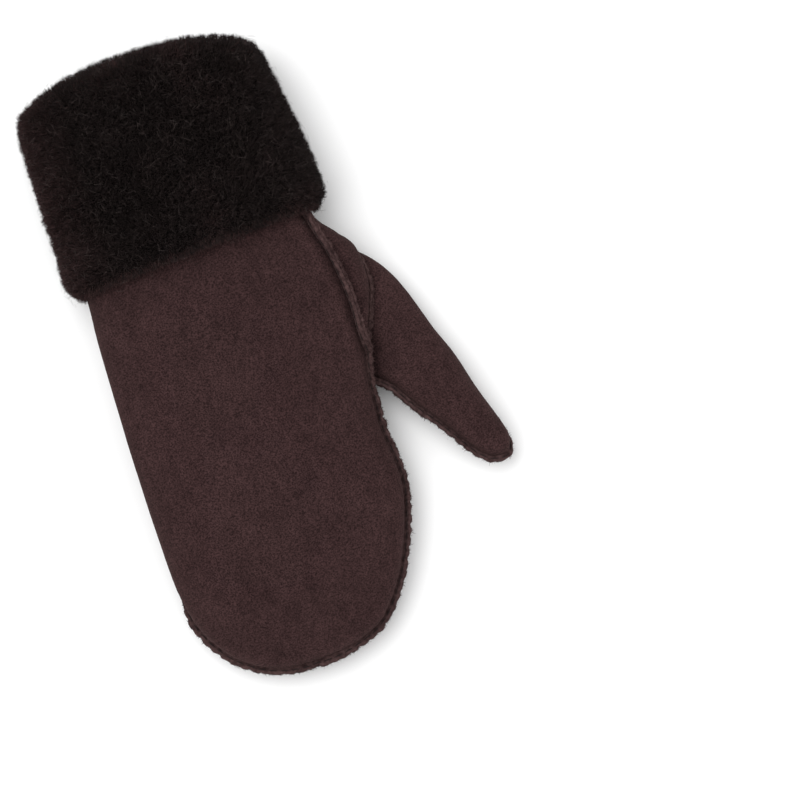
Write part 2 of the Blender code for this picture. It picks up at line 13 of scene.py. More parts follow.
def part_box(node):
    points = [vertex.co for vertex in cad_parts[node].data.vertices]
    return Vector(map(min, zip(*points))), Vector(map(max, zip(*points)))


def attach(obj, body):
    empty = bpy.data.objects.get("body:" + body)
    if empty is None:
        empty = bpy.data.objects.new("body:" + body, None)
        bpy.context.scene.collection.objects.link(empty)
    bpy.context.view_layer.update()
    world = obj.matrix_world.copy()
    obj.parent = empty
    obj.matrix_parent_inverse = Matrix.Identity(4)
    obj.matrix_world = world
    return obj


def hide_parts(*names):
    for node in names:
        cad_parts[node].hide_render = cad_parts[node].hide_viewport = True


MM = 0.001

# The mitten's own sizes, as in the CAD source; the parting and the seams' tables are in degrees
HAND_LENGTH = 181.5 * MM
HAND_WIDTH = 110 * MM
HAND_THICKNESS = 38 * MM
SLEEVE_LENGTH = 80 * MM
LEATHER = 1.8 * MM
THUMB_ROOT_ASIDE = 60 * MM
THUMB_ROOT_DOWN = 57 * MM
THUMB_LENGTH = 78 * MM
THUMB_WIDTH = 27 * MM
THUMB_BASE_WIDTH = 68 * MM
THUMB_THICKNESS = 25 * MM
THUMB_ANGLE = math.radians(27)
BULGE_OUT = 17 * MM
BULGE_LIFT = 6.5 * MM
BULGE_REACH = 45 * MM
BULGE_TURN = math.radians(18)
LIFT_ASIDE = 0.28
LIFT_DOWN = 0.21
LINING_PILE = 4.5 * MM
THUMB_PILE = 3.0 * MM
LINING_CLEARANCE = 0.8 * MM
LIP_GAP = 1.6 * MM
CUFF_PILE = 7.0 * MM
CUFF_PILE_ON_TOP = 10.0 * MM
CUFF_RIM = 9.0 * MM
CUFF_LIP = 12 * MM
CUFF_TILT = 0.045
CUFF_PALM_RISE = 15 * MM
CUFF_BOW = 0.10
PARTING_DEPTH = 2.0 * MM
PARTING_AT = 172.0
PARTING_REACH = 7.0
CLEARANCE = 0.3 * MM
HAND_ROUNDNESS = 2.6
THUMB_ROUNDNESS = 2.3

# along, left, right, top, edge, under
HAND_SECTIONS = (
    (-1.25, -0.390, 0.455, 0.930, 0.540, 0.170),
    (-1.00, -0.395, 0.465, 0.940, 0.540, 0.165),
    (-0.50, -0.403, 0.505, 0.960, 0.520, 0.160),
    (-0.25, -0.406, 0.518, 0.970, 0.510, 0.150),
    (0.00, -0.418, 0.512, 0.985, 0.490, 0.130),
    (0.13, -0.432, 0.498, 1.000, 0.540, 0.070),
    (0.30, -0.441, 0.512, 1.000, 0.630, 0.000),
    (0.38, -0.448, 0.516, 0.990, 0.600, -0.020),
    (0.45, -0.454, 0.511, 0.980, 0.520, -0.026),
    (0.53, -0.460, 0.502, 0.940, 0.440, -0.026),
    (0.65, -0.464, 0.514, 0.890, 0.380, -0.026),
    (0.74, -0.459, 0.478, 0.830, 0.370, -0.026),
    (0.83, -0.432, 0.418, 0.760, 0.350, -0.015),
    (0.905, -0.370, 0.340, 0.665, 0.330, 0.030),
    (0.96, -0.276, 0.254, 0.560, 0.320, 0.110),
    (0.989, -0.180, 0.140, 0.450, 0.320, 0.200),
    (1.00, -0.100, 0.050, 0.345, 0.320, 0.295),
)
# along, across, base, blade, top, edge, under
THUMB_SECTIONS = (
    (-0.937, -0.342, 0.040, 0.00, 0.36, 0.33, 0.30),
    (-0.915, -0.335, 0.150, 0.00, 0.45, 0.36, 0.20),
    (-0.779, -0.272, 0.290, 0.00, 0.80, 0.38, 0.08),
    (-0.595, -0.179, 0.370, 0.00, 1.05, 0.40, 0.08),
    (-0.408, -0.066, 0.395, 0.00, 1.05, 0.41, 0.08),
    (-0.206, 0.047, 0.375, 0.00, 0.82, 0.42, 0.08),
    (0.000, 0.090, 0.180, 0.37, 0.80, 0.41, 0.08),
    (0.250, 0.120, 0.040, 0.485, 0.85, 0.43, 0.08),
    (0.420, 0.118, 0.000, 0.525, 0.94, 0.44, 0.08),
    (0.640, 0.111, 0.000, 0.404, 0.92, 0.44, 0.08),
    (0.850, 0.104, 0.000, 0.322, 0.80, 0.44, 0.08),
    (0.930, 0.099, 0.000, 0.260, 0.72, 0.44, 0.14),
    (0.980, 0.090, 0.000, 0.170, 0.60, 0.44, 0.28),
    (1.000, 0.082, 0.000, 0.055, 0.48, 0.44, 0.40),
)
# along, out
BULGE_PROFILE = (
    (-0.01, 0.00), (0.02, 0.22), (0.06, 0.62), (0.09, 0.88), (0.13, 1.00), (0.19, 0.96),
    (0.23, 0.80), (0.27, 0.60), (0.31, 0.38), (0.36, 0.14), (0.42, 0.00),
)
# along, aside
HAND_SEAM = (
    (-0.020, 0.494), (0.015, 0.503), (0.050, 0.518), (0.088, 0.534), (0.132, 0.545),
    (0.215, 0.556), (0.300, 0.550), (0.353, 0.550), (0.400, 0.550), (1.000, 0.550),
)
# along, angle
HAND_SEAM_BACK = ((1.00, 180.0), (0.92, 181.0), (0.83, 184.0), (0.76, 192.0), (0.69, 202.0))
THUMB_SEAM = ((-0.50, -62.0), (-0.10, -55.0), (0.30, -62.0), (0.70, -58.0), (1.00, -40.0))
THUMB_SEAM_BACK = ((1.00, 170.0), (0.60, 166.0), (0.20, 166.0), (0.02, 172.0))
# along, aside, length, width, turn, depth
FOLDS = (
    (0.13, 0.572, 0.22, 0.028, -2.0, -0.95),
    (0.15, 0.606, 0.20, 0.034, -4.0, 0.85),
    (0.19, 0.634, 0.16, 0.022, -6.0, -0.55),
    (0.10, -0.20, 0.30, 0.100, -60.0, 0.35),
    (0.45, 0.30, 0.35, 0.110, -30.0, 0.40),
    (0.84, 0.10, 0.28, 0.080, 70.0, 0.35),
    (0.72, -0.28, 0.30, 0.090, 25.0, 0.30),
)

# side, place, share of the pile
CUFF_SECTION = (
    ("out", 0.000, 0.30), ("out", -0.020, 0.75), ("out", 0.030, 1.00), ("out", 0.150, 1.08),
    ("out", 0.300, 1.04), ("out", 0.450, 1.06), ("out", 0.600, 1.04), ("out", 0.750, 1.06),
    ("out", 0.900, 1.04), ("rim", 0.250, 1.00), ("rim", 0.750, 0.62), ("rim", 1.000, 0.05),
    ("rim", 0.800, -0.55), ("rim", 0.200, -0.95), ("in", 0.600, 1.05), ("in", 1.000, 0.60),
)

HAND_LAST = len(HAND_SECTIONS) - 1
THUMB_LAST = len(THUMB_SECTIONS) - 1

# Rows and columns of the fine meshes
HAND_GRID = (285, 236)
THUMB_GRID = (150, 124)
INSIDE_GRID = (70, 80)
CUFF_TURNS = 300
CUFF_STATIONS = 64
DOME_SHARES = (0.75, 0.45, 0.15)
DOME_RISE = 0.35
ROUTE_STEP = 0.55 * MM

# The raised seams: their leaves, draws at each stitch, frayed edges and threads, places counted in stitches
SEAM_WIDTH = 2.7 * MM
SEAM_HEIGHT = 2.9 * MM
THUMB_SEAMS_SHARE = 0.78
HAND_SEAM_START = -0.075
HAND_SEAM_SLANT = 0.25
HOLE_SEARCH = 0.6
STITCH = 4.8 * MM
STITCH_FROM = 0.62
STITCH_TO = 1.38
THREAD_RADIUS = 0.20 * MM
THREAD_RINGS = 7
THREAD_SIDES = 8
DRAWN_WIDTH = 0.18
DRAWN_HEIGHT = 0.22
RAW_FROM = 0.3
RAW_EDGE = 0.26 * MM
FRAY_PER_MM = 22

# The two raw leaves of a seam standing side by side, in shares of its width and height
RIDGE_SECTION = (
    (-0.30, -0.45), (-0.26, 0.00), (-0.30, 0.25), (-0.50, 0.50), (-0.60, 0.74), (-0.52, 0.96),
    (-0.30, 1.06), (-0.10, 0.94), (-0.02, 0.70), (0.04, 0.70), (0.12, 0.94), (0.32, 1.02),
    (0.50, 0.92), (0.58, 0.68), (0.48, 0.46), (0.30, 0.22), (0.26, 0.00), (0.30, -0.45),
)

# The skins beside the seams, in millimetres, and where they run into each other
PUFF_AT = 6.5
PUCKER = 0.55
TUCK = 1.5
SKIN_OVERLAP = 2.2 * MM
PALM_PANEL_FROM = 1.8

# The cuff's wool
SEED = 7
FUR_PIECES = ("fur_a", "fur_b", "fur_c")
FUR_FIBRES = 56000
FUR_LENGTH = 5.3 * MM
FUR_SINK = 3.4 * MM
TUFTS = 4200
TUFT_HEIGHT = 4.2 * MM
TUFT_GATHER = 0.20
RIM_FIBRES = 17000
RIM_LOW_SHARE = 0.45
RIM_LENGTH = 5.0 * MM
RIM_LENGTH_LOW = 3.4 * MM
STRAY_FIBRES = 5200
LEATHER_GAP = 0.25 * MM
END_GAP = 0.4 * MM
FLOOR_GAP = 0.05 * MM
TINY = 1e-12

# Colours: a ramp's two stops, or a fibre's dark and pale colour
SUEDE_CLOUDS = ((0.30, (0.0200, 0.0101, 0.0103)), (0.70, (0.0335, 0.0173, 0.0176)))
SUEDE_NAP = ((0.32, (0.0170, 0.0085, 0.0087)), (0.72, (0.0400, 0.0208, 0.0211)))
SUEDE_FLECKS = ((0.35, (0.40, 0.38, 0.38)), (0.65, (1.62, 1.60, 1.58)))
EDGE_STREAKS = ((0.36, (0.014, 0.0075, 0.0077)), (0.66, (0.108, 0.0640, 0.0620)))
EDGE_PATCHES = ((0.35, (0.022, 0.0112, 0.0112)), (0.65, (0.054, 0.0300, 0.0290)))
FIBRE_SHADES = ((0.30, (0.66, 0.64, 0.64)), (0.70, (1.25, 1.22, 1.20)))
FLOOR_GREYS = ((0.3, (0.80, 0.80, 0.80)), (0.7, (0.83, 0.83, 0.83)))
FIBRES = {
    "thread": ((0.006, 0.0035, 0.0035), (0.018, 0.0110, 0.0110)),
    "lining_wool": ((0.010, 0.0060, 0.0060), (0.042, 0.0250, 0.0240)),
    "cuff_ground": ((0.003, 0.0018, 0.0018), (0.010, 0.0058, 0.0058)),
    "cuff_fur": ((0.0036, 0.0023, 0.0022), (0.0235, 0.0150, 0.0145)),
    "cuff_rim": ((0.014, 0.0070, 0.0070), (0.060, 0.0300, 0.0290)),
    # loose pale fibres: their pale colour is partly a painted glint
    "stray_glint": ((0.010, 0.0070, 0.0066), (0.060, 0.0450, 0.0420)),
}
WARM_WOOL = (0.066, 0.0320, 0.0315)
WARM_FROM = -52 * MM
WARM_TO = -80 * MM

# The stage
FLOOR_HALF = 20
FLOOR_DROP = 0.3 * MM
CAMERA_PLACE = Vector((0.040, -0.0387, 0.9736))
CAMERA_TURN = math.radians(-19.0)


def spline(rows, at):
    """A smooth curve through the rows, at places counted in rows."""
    points = np.asarray(rows, float)
    at = np.atleast_1d(np.asarray(at, float))
    last = len(points) - 1
    k = np.clip(at, 0.0, last - 1e-9).astype(int)
    f = (at - k)[..., None]
    b, c = points[k], points[k + 1]
    a = np.where((k > 0)[..., None], points[np.maximum(k - 1, 0)], 2 * b - c)
    d = np.where((k + 2 <= last)[..., None], points[np.minimum(k + 2, last)], 2 * c - b)
    return b + 0.5 * f * (c - a + f * (2 * a - 5 * b + 4 * c - d + f * (3 * (b - c) + d - a)))


def place_of(rows, along):
    """Places, counted in rows, where the first column reaches along."""
    fine = np.linspace(0.0, len(rows) - 1, 60 * len(rows))
    return np.interp(along, spline(rows, fine)[:, 0], fine)


def hand_place(along):
    return float(place_of(HAND_SECTIONS, along))


def run_up(steps):
    """How far along a line its points lie, from the steps between them."""
    return np.concatenate([[0.0], np.cumsum(steps)])


def run_of(points):
    return run_up(np.linalg.norm(np.diff(points, axis=0), axis=1))


def evenly(run, values, count, endpoint=True):
    """The values at count places, evenly spaced along the run."""
    return np.interp(np.linspace(0.0, run[-1], count, endpoint=endpoint), run, values)


def power(value, exponent):
    return np.sign(value) * np.abs(value) ** exponent


def shrunk(size, inset, least):
    return np.maximum(size - inset, least * size)


def fold_height(x, y):
    total = np.zeros_like(x)
    for along, aside, length, width, turn, depth in FOLDS:
        c, s = math.cos(math.radians(turn)), math.sin(math.radians(turn))
        dx = x - aside * HAND_WIDTH
        dy = y + along * HAND_LENGTH
        u = (dy * c + dx * s) / (length * HAND_WIDTH)
        v = (dx * c - dy * s) / (width * HAND_WIDTH)
        total += depth * LEATHER * np.exp(-(u**2) - v**2)
    return total


def bulge_at(along):
    inside = (along > BULGE_PROFILE[0][0]) & (along < BULGE_PROFILE[-1][0])
    at = place_of(BULGE_PROFILE, along)
    share = spline(BULGE_PROFILE, at)[..., 1].reshape(np.shape(along))
    return np.where(inside, np.maximum(0.0, share), 0.0)


def lift_at(x, y):
    dx = x - (THUMB_ROOT_ASIDE - THUMB_LENGTH * LIFT_ASIDE)
    dy = y + (THUMB_ROOT_DOWN - THUMB_LENGTH * LIFT_DOWN)
    return np.exp(-((np.hypot(dx, dy) / BULGE_REACH) ** 4))


def hand_surface(at, turn, inset=0.0):
    """Points of the hand's surface, or of one inset inside it."""
    at, turn = np.broadcast_arrays(np.asarray(at, float), np.asarray(turn, float))
    row = spline(HAND_SECTIONS, at.ravel())
    along, left, right, top, edge, under = (row[:, k].reshape(at.shape) for k in range(6))
    half = shrunk(HAND_WIDTH * (right - left) / 2, inset, 0.2)
    rise = shrunk(HAND_THICKNESS * (top - edge), inset, 0.1)
    drop = shrunk(HAND_THICKNESS * (edge - under), inset, 0.1)
    c, s = np.cos(turn), np.sin(turn)
    up = power(s, 2 / HAND_ROUNDNESS)
    x = HAND_WIDTH * (left + right) / 2 + half * power(c, 2 / HAND_ROUNDNESS)
    z = HAND_THICKNESS * edge + up * np.where(up > 0, rise, drop)
    y = np.where(along < 0, -along * SLEEVE_LENGTH * (1 - CUFF_BOW * c**2), -along * (HAND_LENGTH - inset))
    side = np.maximum(0.0, c) ** 2 * np.maximum(0.0, np.cos(turn + BULGE_TURN))
    x = x + BULGE_OUT * side * bulge_at(along)
    z = z + np.maximum(0.0, -s) ** 0.5 * BULGE_LIFT * lift_at(x, y)
    z = z + np.where((s > 0) & (along > 0), np.maximum(s, 0.0) ** 0.5 * fold_height(x, y), 0.0)
    return np.stack([x, y, np.maximum(z, inset)], axis=-1)


def thumb_line(at):
    row = spline(THUMB_SECTIONS, np.asarray(at, float).ravel()) * THUMB_LENGTH
    along, across = row[:, 0], row[:, 1]
    x = THUMB_ROOT_ASIDE + along * math.sin(THUMB_ANGLE) + across * math.cos(THUMB_ANGLE)
    y = -THUMB_ROOT_DOWN - along * math.cos(THUMB_ANGLE) + across * math.sin(THUMB_ANGLE)
    return np.stack([x, y], axis=-1).reshape(np.shape(at) + (2,))


def thumb_surface(at, turn, inset=0.0):
    """Points of the thumb's surface, or of one inset inside it."""
    at, turn = np.broadcast_arrays(np.asarray(at, float), np.asarray(turn, float))
    row = spline(THUMB_SECTIONS, at.ravel())
    _, _, base, blade, top, edge, under = (row[:, k].reshape(at.shape) for k in range(7))
    ahead = thumb_line(at + 0.01) - thumb_line(at - 0.01)
    ahead /= np.linalg.norm(ahead, axis=-1, keepdims=True)
    outward = np.stack([-ahead[..., 1], ahead[..., 0]], axis=-1)
    half = shrunk(base * THUMB_BASE_WIDTH + blade * THUMB_WIDTH, inset, 0.2)
    rise = shrunk(THUMB_THICKNESS * (top - edge), inset, 0.1)
    drop = shrunk(THUMB_THICKNESS * (edge - under), inset, 0.1)
    up = power(np.sin(turn), 2 / THUMB_ROUNDNESS)
    across = half * power(np.cos(turn), 2 / THUMB_ROUNDNESS)
    done = at / THUMB_LAST
    pull = inset * ((1 - done) ** 6 - done**6)
    plan = thumb_line(at) + outward * across[..., None] + ahead * pull[..., None]
    z = THUMB_THICKNESS * edge + up * np.where(up > 0, rise, drop)
    return np.concatenate([plan, np.maximum(z, inset)[..., None]], axis=-1)


def even_places(surface, first, last, count):
    """Places along a body, evenly spaced by how far its outline moves between them."""
    fine = np.linspace(first, last, 80 * int(last - first + 1))
    rings = surface(fine[:, None], np.radians([0.0, 90.0, 180.0, 270.0])[None, :])
    run = run_up(np.linalg.norm(np.diff(rings, axis=0), axis=2).max(axis=1))
    return evenly(run, fine, count)


def even_turns(surface, at, count):
    """Turns round a section, evenly spaced along it, starting at the thumb's side."""
    fine = np.linspace(0.0, 2 * math.pi, 1441)
    run = run_of(surface(np.full(fine.shape, at), fine))
    return evenly(run, fine, count, endpoint=False)


# Meshes


def linked(name, data):
    """A new object in the scene."""
    thing = bpy.data.objects.new(name, data)
    bpy.context.scene.collection.objects.link(thing)
    return thing


def mesh_from(name, points, faces):
    """A smooth-shaded object from points and faces, which all have as many corners."""
    mesh = bpy.data.meshes.new(name)
    points = np.asarray(points, np.float32)
    faces = np.asarray(faces, np.int32)
    starts = np.arange(0, faces.size, faces.shape[1], dtype=np.int32)
    mesh.vertices.add(len(points))
    mesh.vertices.foreach_set("co", points.ravel())
    mesh.loops.add(faces.size)
    mesh.loops.foreach_set("vertex_index", faces.ravel())
    mesh.polygons.add(len(faces))
    mesh.polygons.foreach_set("loop_start", starts)
    mesh.update(calc_edges=True)
    shade_smooth(mesh)
    return linked(name, mesh)


def shade_smooth(mesh):
    mesh.polygons.foreach_set("use_smooth", np.full(len(mesh.polygons), True))


def grid_faces(rows, cols, wrap_rows=False):
    """Quads between rows of points, each of which closes into a ring."""
    i = np.arange(rows if wrap_rows else rows - 1)
    a, b = np.meshgrid(i, np.arange(cols), indexing="ij")
    a2, b2 = (a + 1) % rows, (b + 1) % cols
    quads = np.stack([a * cols + b, a * cols + b2, a2 * cols + b2, a2 * cols + b], axis=-1)
    return quads.reshape(-1, 4)


def edit_mesh(thing, change):
    """Runs change on the thing's faces, and shades what comes of it smooth."""
    built = bmesh.new()
    built.from_mesh(thing.data)
    built.verts.ensure_lookup_table()
    change(built)
    built.to_mesh(thing.data)
    built.free()
    shade_smooth(thing.data)


def face_outward(built):
    bmesh.ops.recalc_face_normals(built, faces=built.faces)


def flip(thing):
    edit_mesh(thing, lambda built: bmesh.ops.reverse_faces(built, faces=built.faces))


def point_noise(points, scale, seed=0.0):
    """Smooth noise from -1 to 1 at each point, scale waves to a metre."""
    return np.array([noise.noise(Vector((p[0] * scale + seed, p[1] * scale, p[2] * scale))) for p in points])


def falloff(gap, reach):
    """One where there is no gap, fading out past reach."""
    return np.exp(-((gap / reach) ** 2))


def unit(vectors):
    return vectors / (np.linalg.norm(vectors, axis=-1, keepdims=True) + TINY)


def read_vertices(thing, layer):
    out = np.empty(len(thing.data.vertices) * 3, np.float32)
    thing.data.vertices.foreach_get(layer, out)
    return out.reshape(-1, 3).astype(float)


def points_of(thing):
    return read_vertices(thing, "co")


def normals_of(thing):
    return read_vertices(thing, "normal")


def set_points(thing, points):
    thing.data.vertices.foreach_set("co", np.asarray(points, np.float32).ravel())
    thing.data.update()


def keep_above(points, height):
    """The points, none of them lower than height."""
    points[..., 2] = np.maximum(points[..., 2], height)
    return points


def raise_thing(thing, height):
    set_points(thing, keep_above(points_of(thing), height))


def tree_of(thing):
    """A search tree through the thing's faces."""
    faces = [tuple(face.vertices) for face in thing.data.polygons]
    return BVHTree.FromPolygons([v.co for v in thing.data.vertices], faces)


def tree_through(points):
    """A search tree through points alone."""
    tree = KDTree(len(points))
    for i, point in enumerate(points):
        tree.insert(point, i)
    tree.balance()
    return tree


def depth_in(tree, point):
    """How far a point lies inside a closed surface; below zero outside."""
    nearest, normal, _, _ = tree.find_nearest(point)
    gap = point - nearest
    return -math.copysign(gap.length, gap.dot(normal))


def drop_faces(thing, unwanted):
    def change(built):
        gone = [face for face in built.faces if unwanted(face)]
        bmesh.ops.delete(built, geom=gone, context="FACES")

    edit_mesh(thing, change)


def drop_inside(thing, tree, depth=0.0):
    """Removes the faces whose middle lies deeper than depth inside a closed surface."""
    drop_faces(thing, lambda face: depth_in(tree, face.calc_center_median()) > depth)


def capped_grid(name, surface, first, last, size, inset=0.0):
    """A smooth bag through a surface's sections, of size rows and columns, with a domed end."""
    rows, around = size
    places = even_places(surface, first, last, rows)
    turns = even_turns(surface, (first + last) / 2, around)
    rings = surface(places[:, None], turns[None, :], inset)
    middle = rings[-1].mean(axis=0)
    ahead = unit(middle - rings[-3].mean(axis=0))
    width = np.linalg.norm(rings[-1] - middle, axis=1).min()
    domes = []
    for share in DOME_SHARES:
        rise = ahead * width * DOME_RISE * (1 - share**2)
        domes.append(middle + (rings[-1] - middle) * share + rise)
    rings = np.concatenate([rings, np.array(domes)])
    points = np.concatenate([rings.reshape(-1, 3), [domes[-1].mean(axis=0)]])
    thing = mesh_from(name, points, grid_faces(len(rings), around))

    def close_tip(built):
        tip = len(points) - 1
        start = tip - around
        for j in range(around):
            corners = (start + j, start + (j + 1) % around, tip)
            built.faces.new([built.verts[k] for k in corners])
        face_outward(built)

    edit_mesh(thing, close_tip)
    return thing


# The seams' routes


def resampled(points, step):
    """Points evenly spaced along the line through points, about a step apart."""
    run = run_of(points)
    count = max(2, int(round(run[-1] / step)) + 1)
    return np.column_stack([evenly(run, points[:, k], count) for k in range(3)])


def smoothed(values, width, closed):
    """The values averaged over width neighbours on each side."""
    kernel = np.hanning(2 * width + 3)[1:-1]
    kernel /= kernel.sum()
    padded = np.pad(values, ((width, width), (0, 0)), mode="wrap" if closed else "edge")
    return np.column_stack([np.convolve(padded[:, k], kernel, "valid") for k in range(values.shape[1])])


def seam_angle(rows, along):
    """The turn, in degrees, that a seam's table gives."""
    rows = sorted(rows)
    return np.interp(along, [row[0] for row in rows], [row[1] for row in rows])


def hand_route():
    """The hand's closing seam: from under the cuff round the tip, and a little way back."""
    fine = np.linspace(0.0, math.pi / 2, 500)
    near, outset = HAND_SEAM[0]
    points = []
    for along in np.linspace(HAND_SEAM_START, 1.0, 260):
        if along < near:
            aside = outset + (along - near) * HAND_SEAM_SLANT
        else:
            aside = float(spline(HAND_SEAM, float(place_of(HAND_SEAM, along)))[0, 1])
        at = hand_place(along)
        ring = hand_surface(np.full(fine.shape, at), fine)
        points.append(hand_surface(at, np.interp(-aside * HAND_WIDTH, -ring[:, 0], fine)))
    for along in np.linspace(1.0, HAND_SEAM_BACK[-1][0], 90):
        turn = math.radians(seam_angle(HAND_SEAM_BACK, along))
        points.append(hand_surface(hand_place(along), turn))
    return np.array(points)


def thumb_route():
    """The thumb's seam: up its palm side, round the tip and back to the crotch."""
    points = []
    for rows in (THUMB_SEAM, THUMB_SEAM_BACK):
        for along in np.linspace(rows[0][0], rows[-1][0], 160):
            turn = math.radians(seam_angle(rows, along))
            points.append(thumb_surface(float(place_of(THUMB_SECTIONS, along)), turn))
    return np.array(points)


def hole_route(hand_tree):
    """Where the thumb's surface comes out of the hand's."""
    points = []
    ats = np.linspace(0.0, HOLE_SEARCH * THUMB_LAST, 240)
    for turn in np.linspace(0.0, 2 * math.pi, 240, endpoint=False):
        line = thumb_surface(ats, np.full(ats.shape, turn))
        depths = [depth_in(hand_tree, Vector(p)) for p in line]
        out = next((i for i, depth in enumerate(depths) if depth < 0), None)
        if out is None:
            continue
        share = depths[out - 1] / (depths[out - 1] - depths[out] + TINY) if out else 0.0
        before = line[max(out - 1, 0)]
        points.append(before + (line[out] - before) * share)
    return np.array(points)


def outward_along(trees, points, closed):
    """Smoothed outward directions along a route."""
    out = []
    for point in points:
        total = Vector((0.0, 0.0, 0.0))
        for tree in trees:
            total += tree.find_nearest(Vector(point))[1]
        out.append(total.normalized())
    return unit(smoothed(np.array(out), 6, closed))


def frames_along(points, up, closed):
    """At each point of a route, the ways ahead, up and aside."""
    if closed:
        ahead = np.roll(points, -1, axis=0) - np.roll(points, 1, axis=0)
    else:
        ahead = np.gradient(points, axis=0)
    ahead = unit(ahead)
    up = unit(up - ahead * (up * ahead).sum(axis=1, keepdims=True))
    return ahead, up, np.cross(up, ahead)


# The raised seams


def ridge(name, points, trees, closed, seed, height=1.0, taper=6.0):
    """Two raw-edged leaves along a route, drawn in at each stitch and frayed along the top."""
    ahead, up, side = frames_along(points, outward_along(trees, points, closed), closed)
    run = run_of(points)
    phase = run / run[-1] * max(1, round(run[-1] / STITCH)) if closed else run / STITCH
    drawn = (0.5 + 0.5 * np.cos(2 * math.pi * phase)) ** 2
    drawn = drawn * (0.55 + 0.9 * np.abs(point_noise(points, 90, seed + 20)))
    wide = SEAM_WIDTH * (1.03 - DRAWN_WIDTH * drawn + 0.16 * point_noise(points, 380, seed + 3))
    tall = 0.98 - DRAWN_HEIGHT * drawn + 0.20 * point_noise(points, 240, seed + 7)
    tall = SEAM_HEIGHT * height * tall * (1 + 0.10 * point_noise(points, 800, seed + 13))
    if not closed:
        ends = np.minimum(run * taper / 6.0, run[-1] - run) / (taper * MM)
        tall *= np.clip(0.05 + ends, 0, 1)
        wide *= np.clip(0.35 + ends, 0, 1)
    sway, swell = point_noise(points, 110, seed), point_noise(points, 190, seed + 11)
    rings = []
    for k, (aside, lift) in enumerate(RIDGE_SECTION):
        raw = lift > RAW_FROM
        jitter = point_noise(points + 0.013 * k, 900, seed + k) * RAW_EDGE * raw
        out = (aside + 0.10 * sway * max(0.0, lift)) * wide + jitter
        rise = lift * (1 + 0.10 * np.sign(aside) * swell * raw) * tall + jitter
        rings.append(points + side * out[:, None] + up * rise[:, None])
    rings = keep_above(np.stack(rings, axis=1), 0.15 * MM)
    rows, cols = rings.shape[:2]
    thing = mesh_from(name, rings.reshape(-1, 3), grid_faces(rows, cols, wrap_rows=closed))

    def close_ends(built):
        for start in () if closed else (0, (rows - 1) * cols):
            built.faces.new([built.verts[start + j] for j in range(cols)])
        face_outward(built)

    edit_mesh(thing, close_ends)
    seam = dict(points=points, up=up, side=side, ahead=ahead, wide=wide, tall=tall, phase=phase, run=run)
    return thing, seam


def ribbons(name, roots, tips, bends, width, rng):
    """Thin bent fibres: each is a narrow strip of three triangles."""
    count = len(roots)
    along = tips - roots
    across = unit(np.cross(along, rng.normal(size=(count, 3)))) * (width[:, None] / 2)
    middle = roots + along * 0.55 + bends
    inner = across * 0.85
    points = np.stack([roots - across, roots + across, middle + inner, middle - inner, tips], axis=1)
    base = np.arange(count)[:, None] * 5
    faces = np.concatenate([base + (0, 1, 2), base + (0, 2, 3), base + (3, 2, 4)])
    return mesh_from(name, points.reshape(-1, 3), faces)


def fray(name, seams, rng):
    """Loose fibres standing off the raw edges."""
    roots, tips, bends = [], [], []
    for seam in seams:
        count = int(seam["run"][-1] / MM * FRAY_PER_MM)
        k = rng.integers(0, len(seam["points"]), count)
        leaf = rng.choice((-1.0, 1.0), count) * rng.uniform(0.08, 0.56, count)
        outer = np.abs(leaf) > 0.46
        lift = np.where(outer, rng.uniform(0.25, 0.9, count), rng.uniform(0.85, 1.02, count))
        side, up, ahead = seam["side"][k], seam["up"][k], seam["ahead"][k]
        root = seam["points"][k] + side * (leaf * seam["wide"][k])[:, None]
        root = root + up * (lift * seam["tall"][k])[:, None]
        root = root + ahead * rng.normal(0, 0.25 * MM, count)[:, None]
        long = rng.gamma(3.0, 0.24, count)[:, None] * MM
        way = up * rng.uniform(0.1, 1.0, count)[:, None]
        way = way + side * (np.sign(leaf) * rng.uniform(0.1, 1.1, count))[:, None]
        way = unit(way + ahead * rng.normal(0, 0.6, count)[:, None])
        roots.append(root)
        tips.append(root + way * long)
        bends.append(rng.normal(0, 0.14, (count, 3)) * long)
    roots, tips, bends = (np.concatenate(parts) for parts in (roots, tips, bends))
    width = rng.uniform(0.10, 0.20, len(roots)) * MM
    return ribbons(name, keep_above(roots, 0.1 * MM), keep_above(tips, 0.1 * MM), bends, width, rng)


def at_phase(seam, phase):
    """A seam's point, its ways up and aside, its width and its height, at a place counted in stitches."""
    def take(values):
        return np.interp(phase, seam["phase"], values)

    lines = [np.array([take(seam[key][:, k]) for k in range(3)]) for key in ("points", "up", "side")]
    return *lines, take(seam["wide"]), take(seam["tall"])


def stitch(seam, first, hand):
    """The rings of one stitch on a face of a seam; hand is -1 for one face and 1 for the other."""
    turns = np.linspace(0, 2 * math.pi, THREAD_SIDES, endpoint=False)[:, None]
    rings = []
    for share in np.linspace(0, 1, THREAD_RINGS):
        spot, up, side, wide, tall = at_phase(seam, first + (STITCH_TO - STITCH_FROM) * share)
        bow = math.sin(math.pi * share)
        centre = spot + side * hand * wide * (0.47 + 0.10 * bow) + up * tall * 0.34
        radius = THREAD_RADIUS * (0.35 + 0.65 * bow**0.5)
        rings.append(centre + radius * (np.cos(turns) * side + np.sin(turns) * up))
    return np.array(rings)


def threads(name, seams):
    """Short running stitches along both faces of each seam, left out where they would touch the floor."""
    points, faces = [], []
    for seam in seams:
        for n in range(math.ceil(seam["phase"][-1] - STITCH_TO)):
            for hand in (-1.0, 1.0):
                rings = stitch(seam, n + STITCH_FROM, hand)
                if rings[..., 2].min() < 0.1 * MM:
                    continue
                faces.append(grid_faces(THREAD_RINGS, THREAD_SIDES) + sum(map(len, points)))
                points.append(rings.reshape(-1, 3))
    return mesh_from(name, np.concatenate(points), np.concatenate(faces))


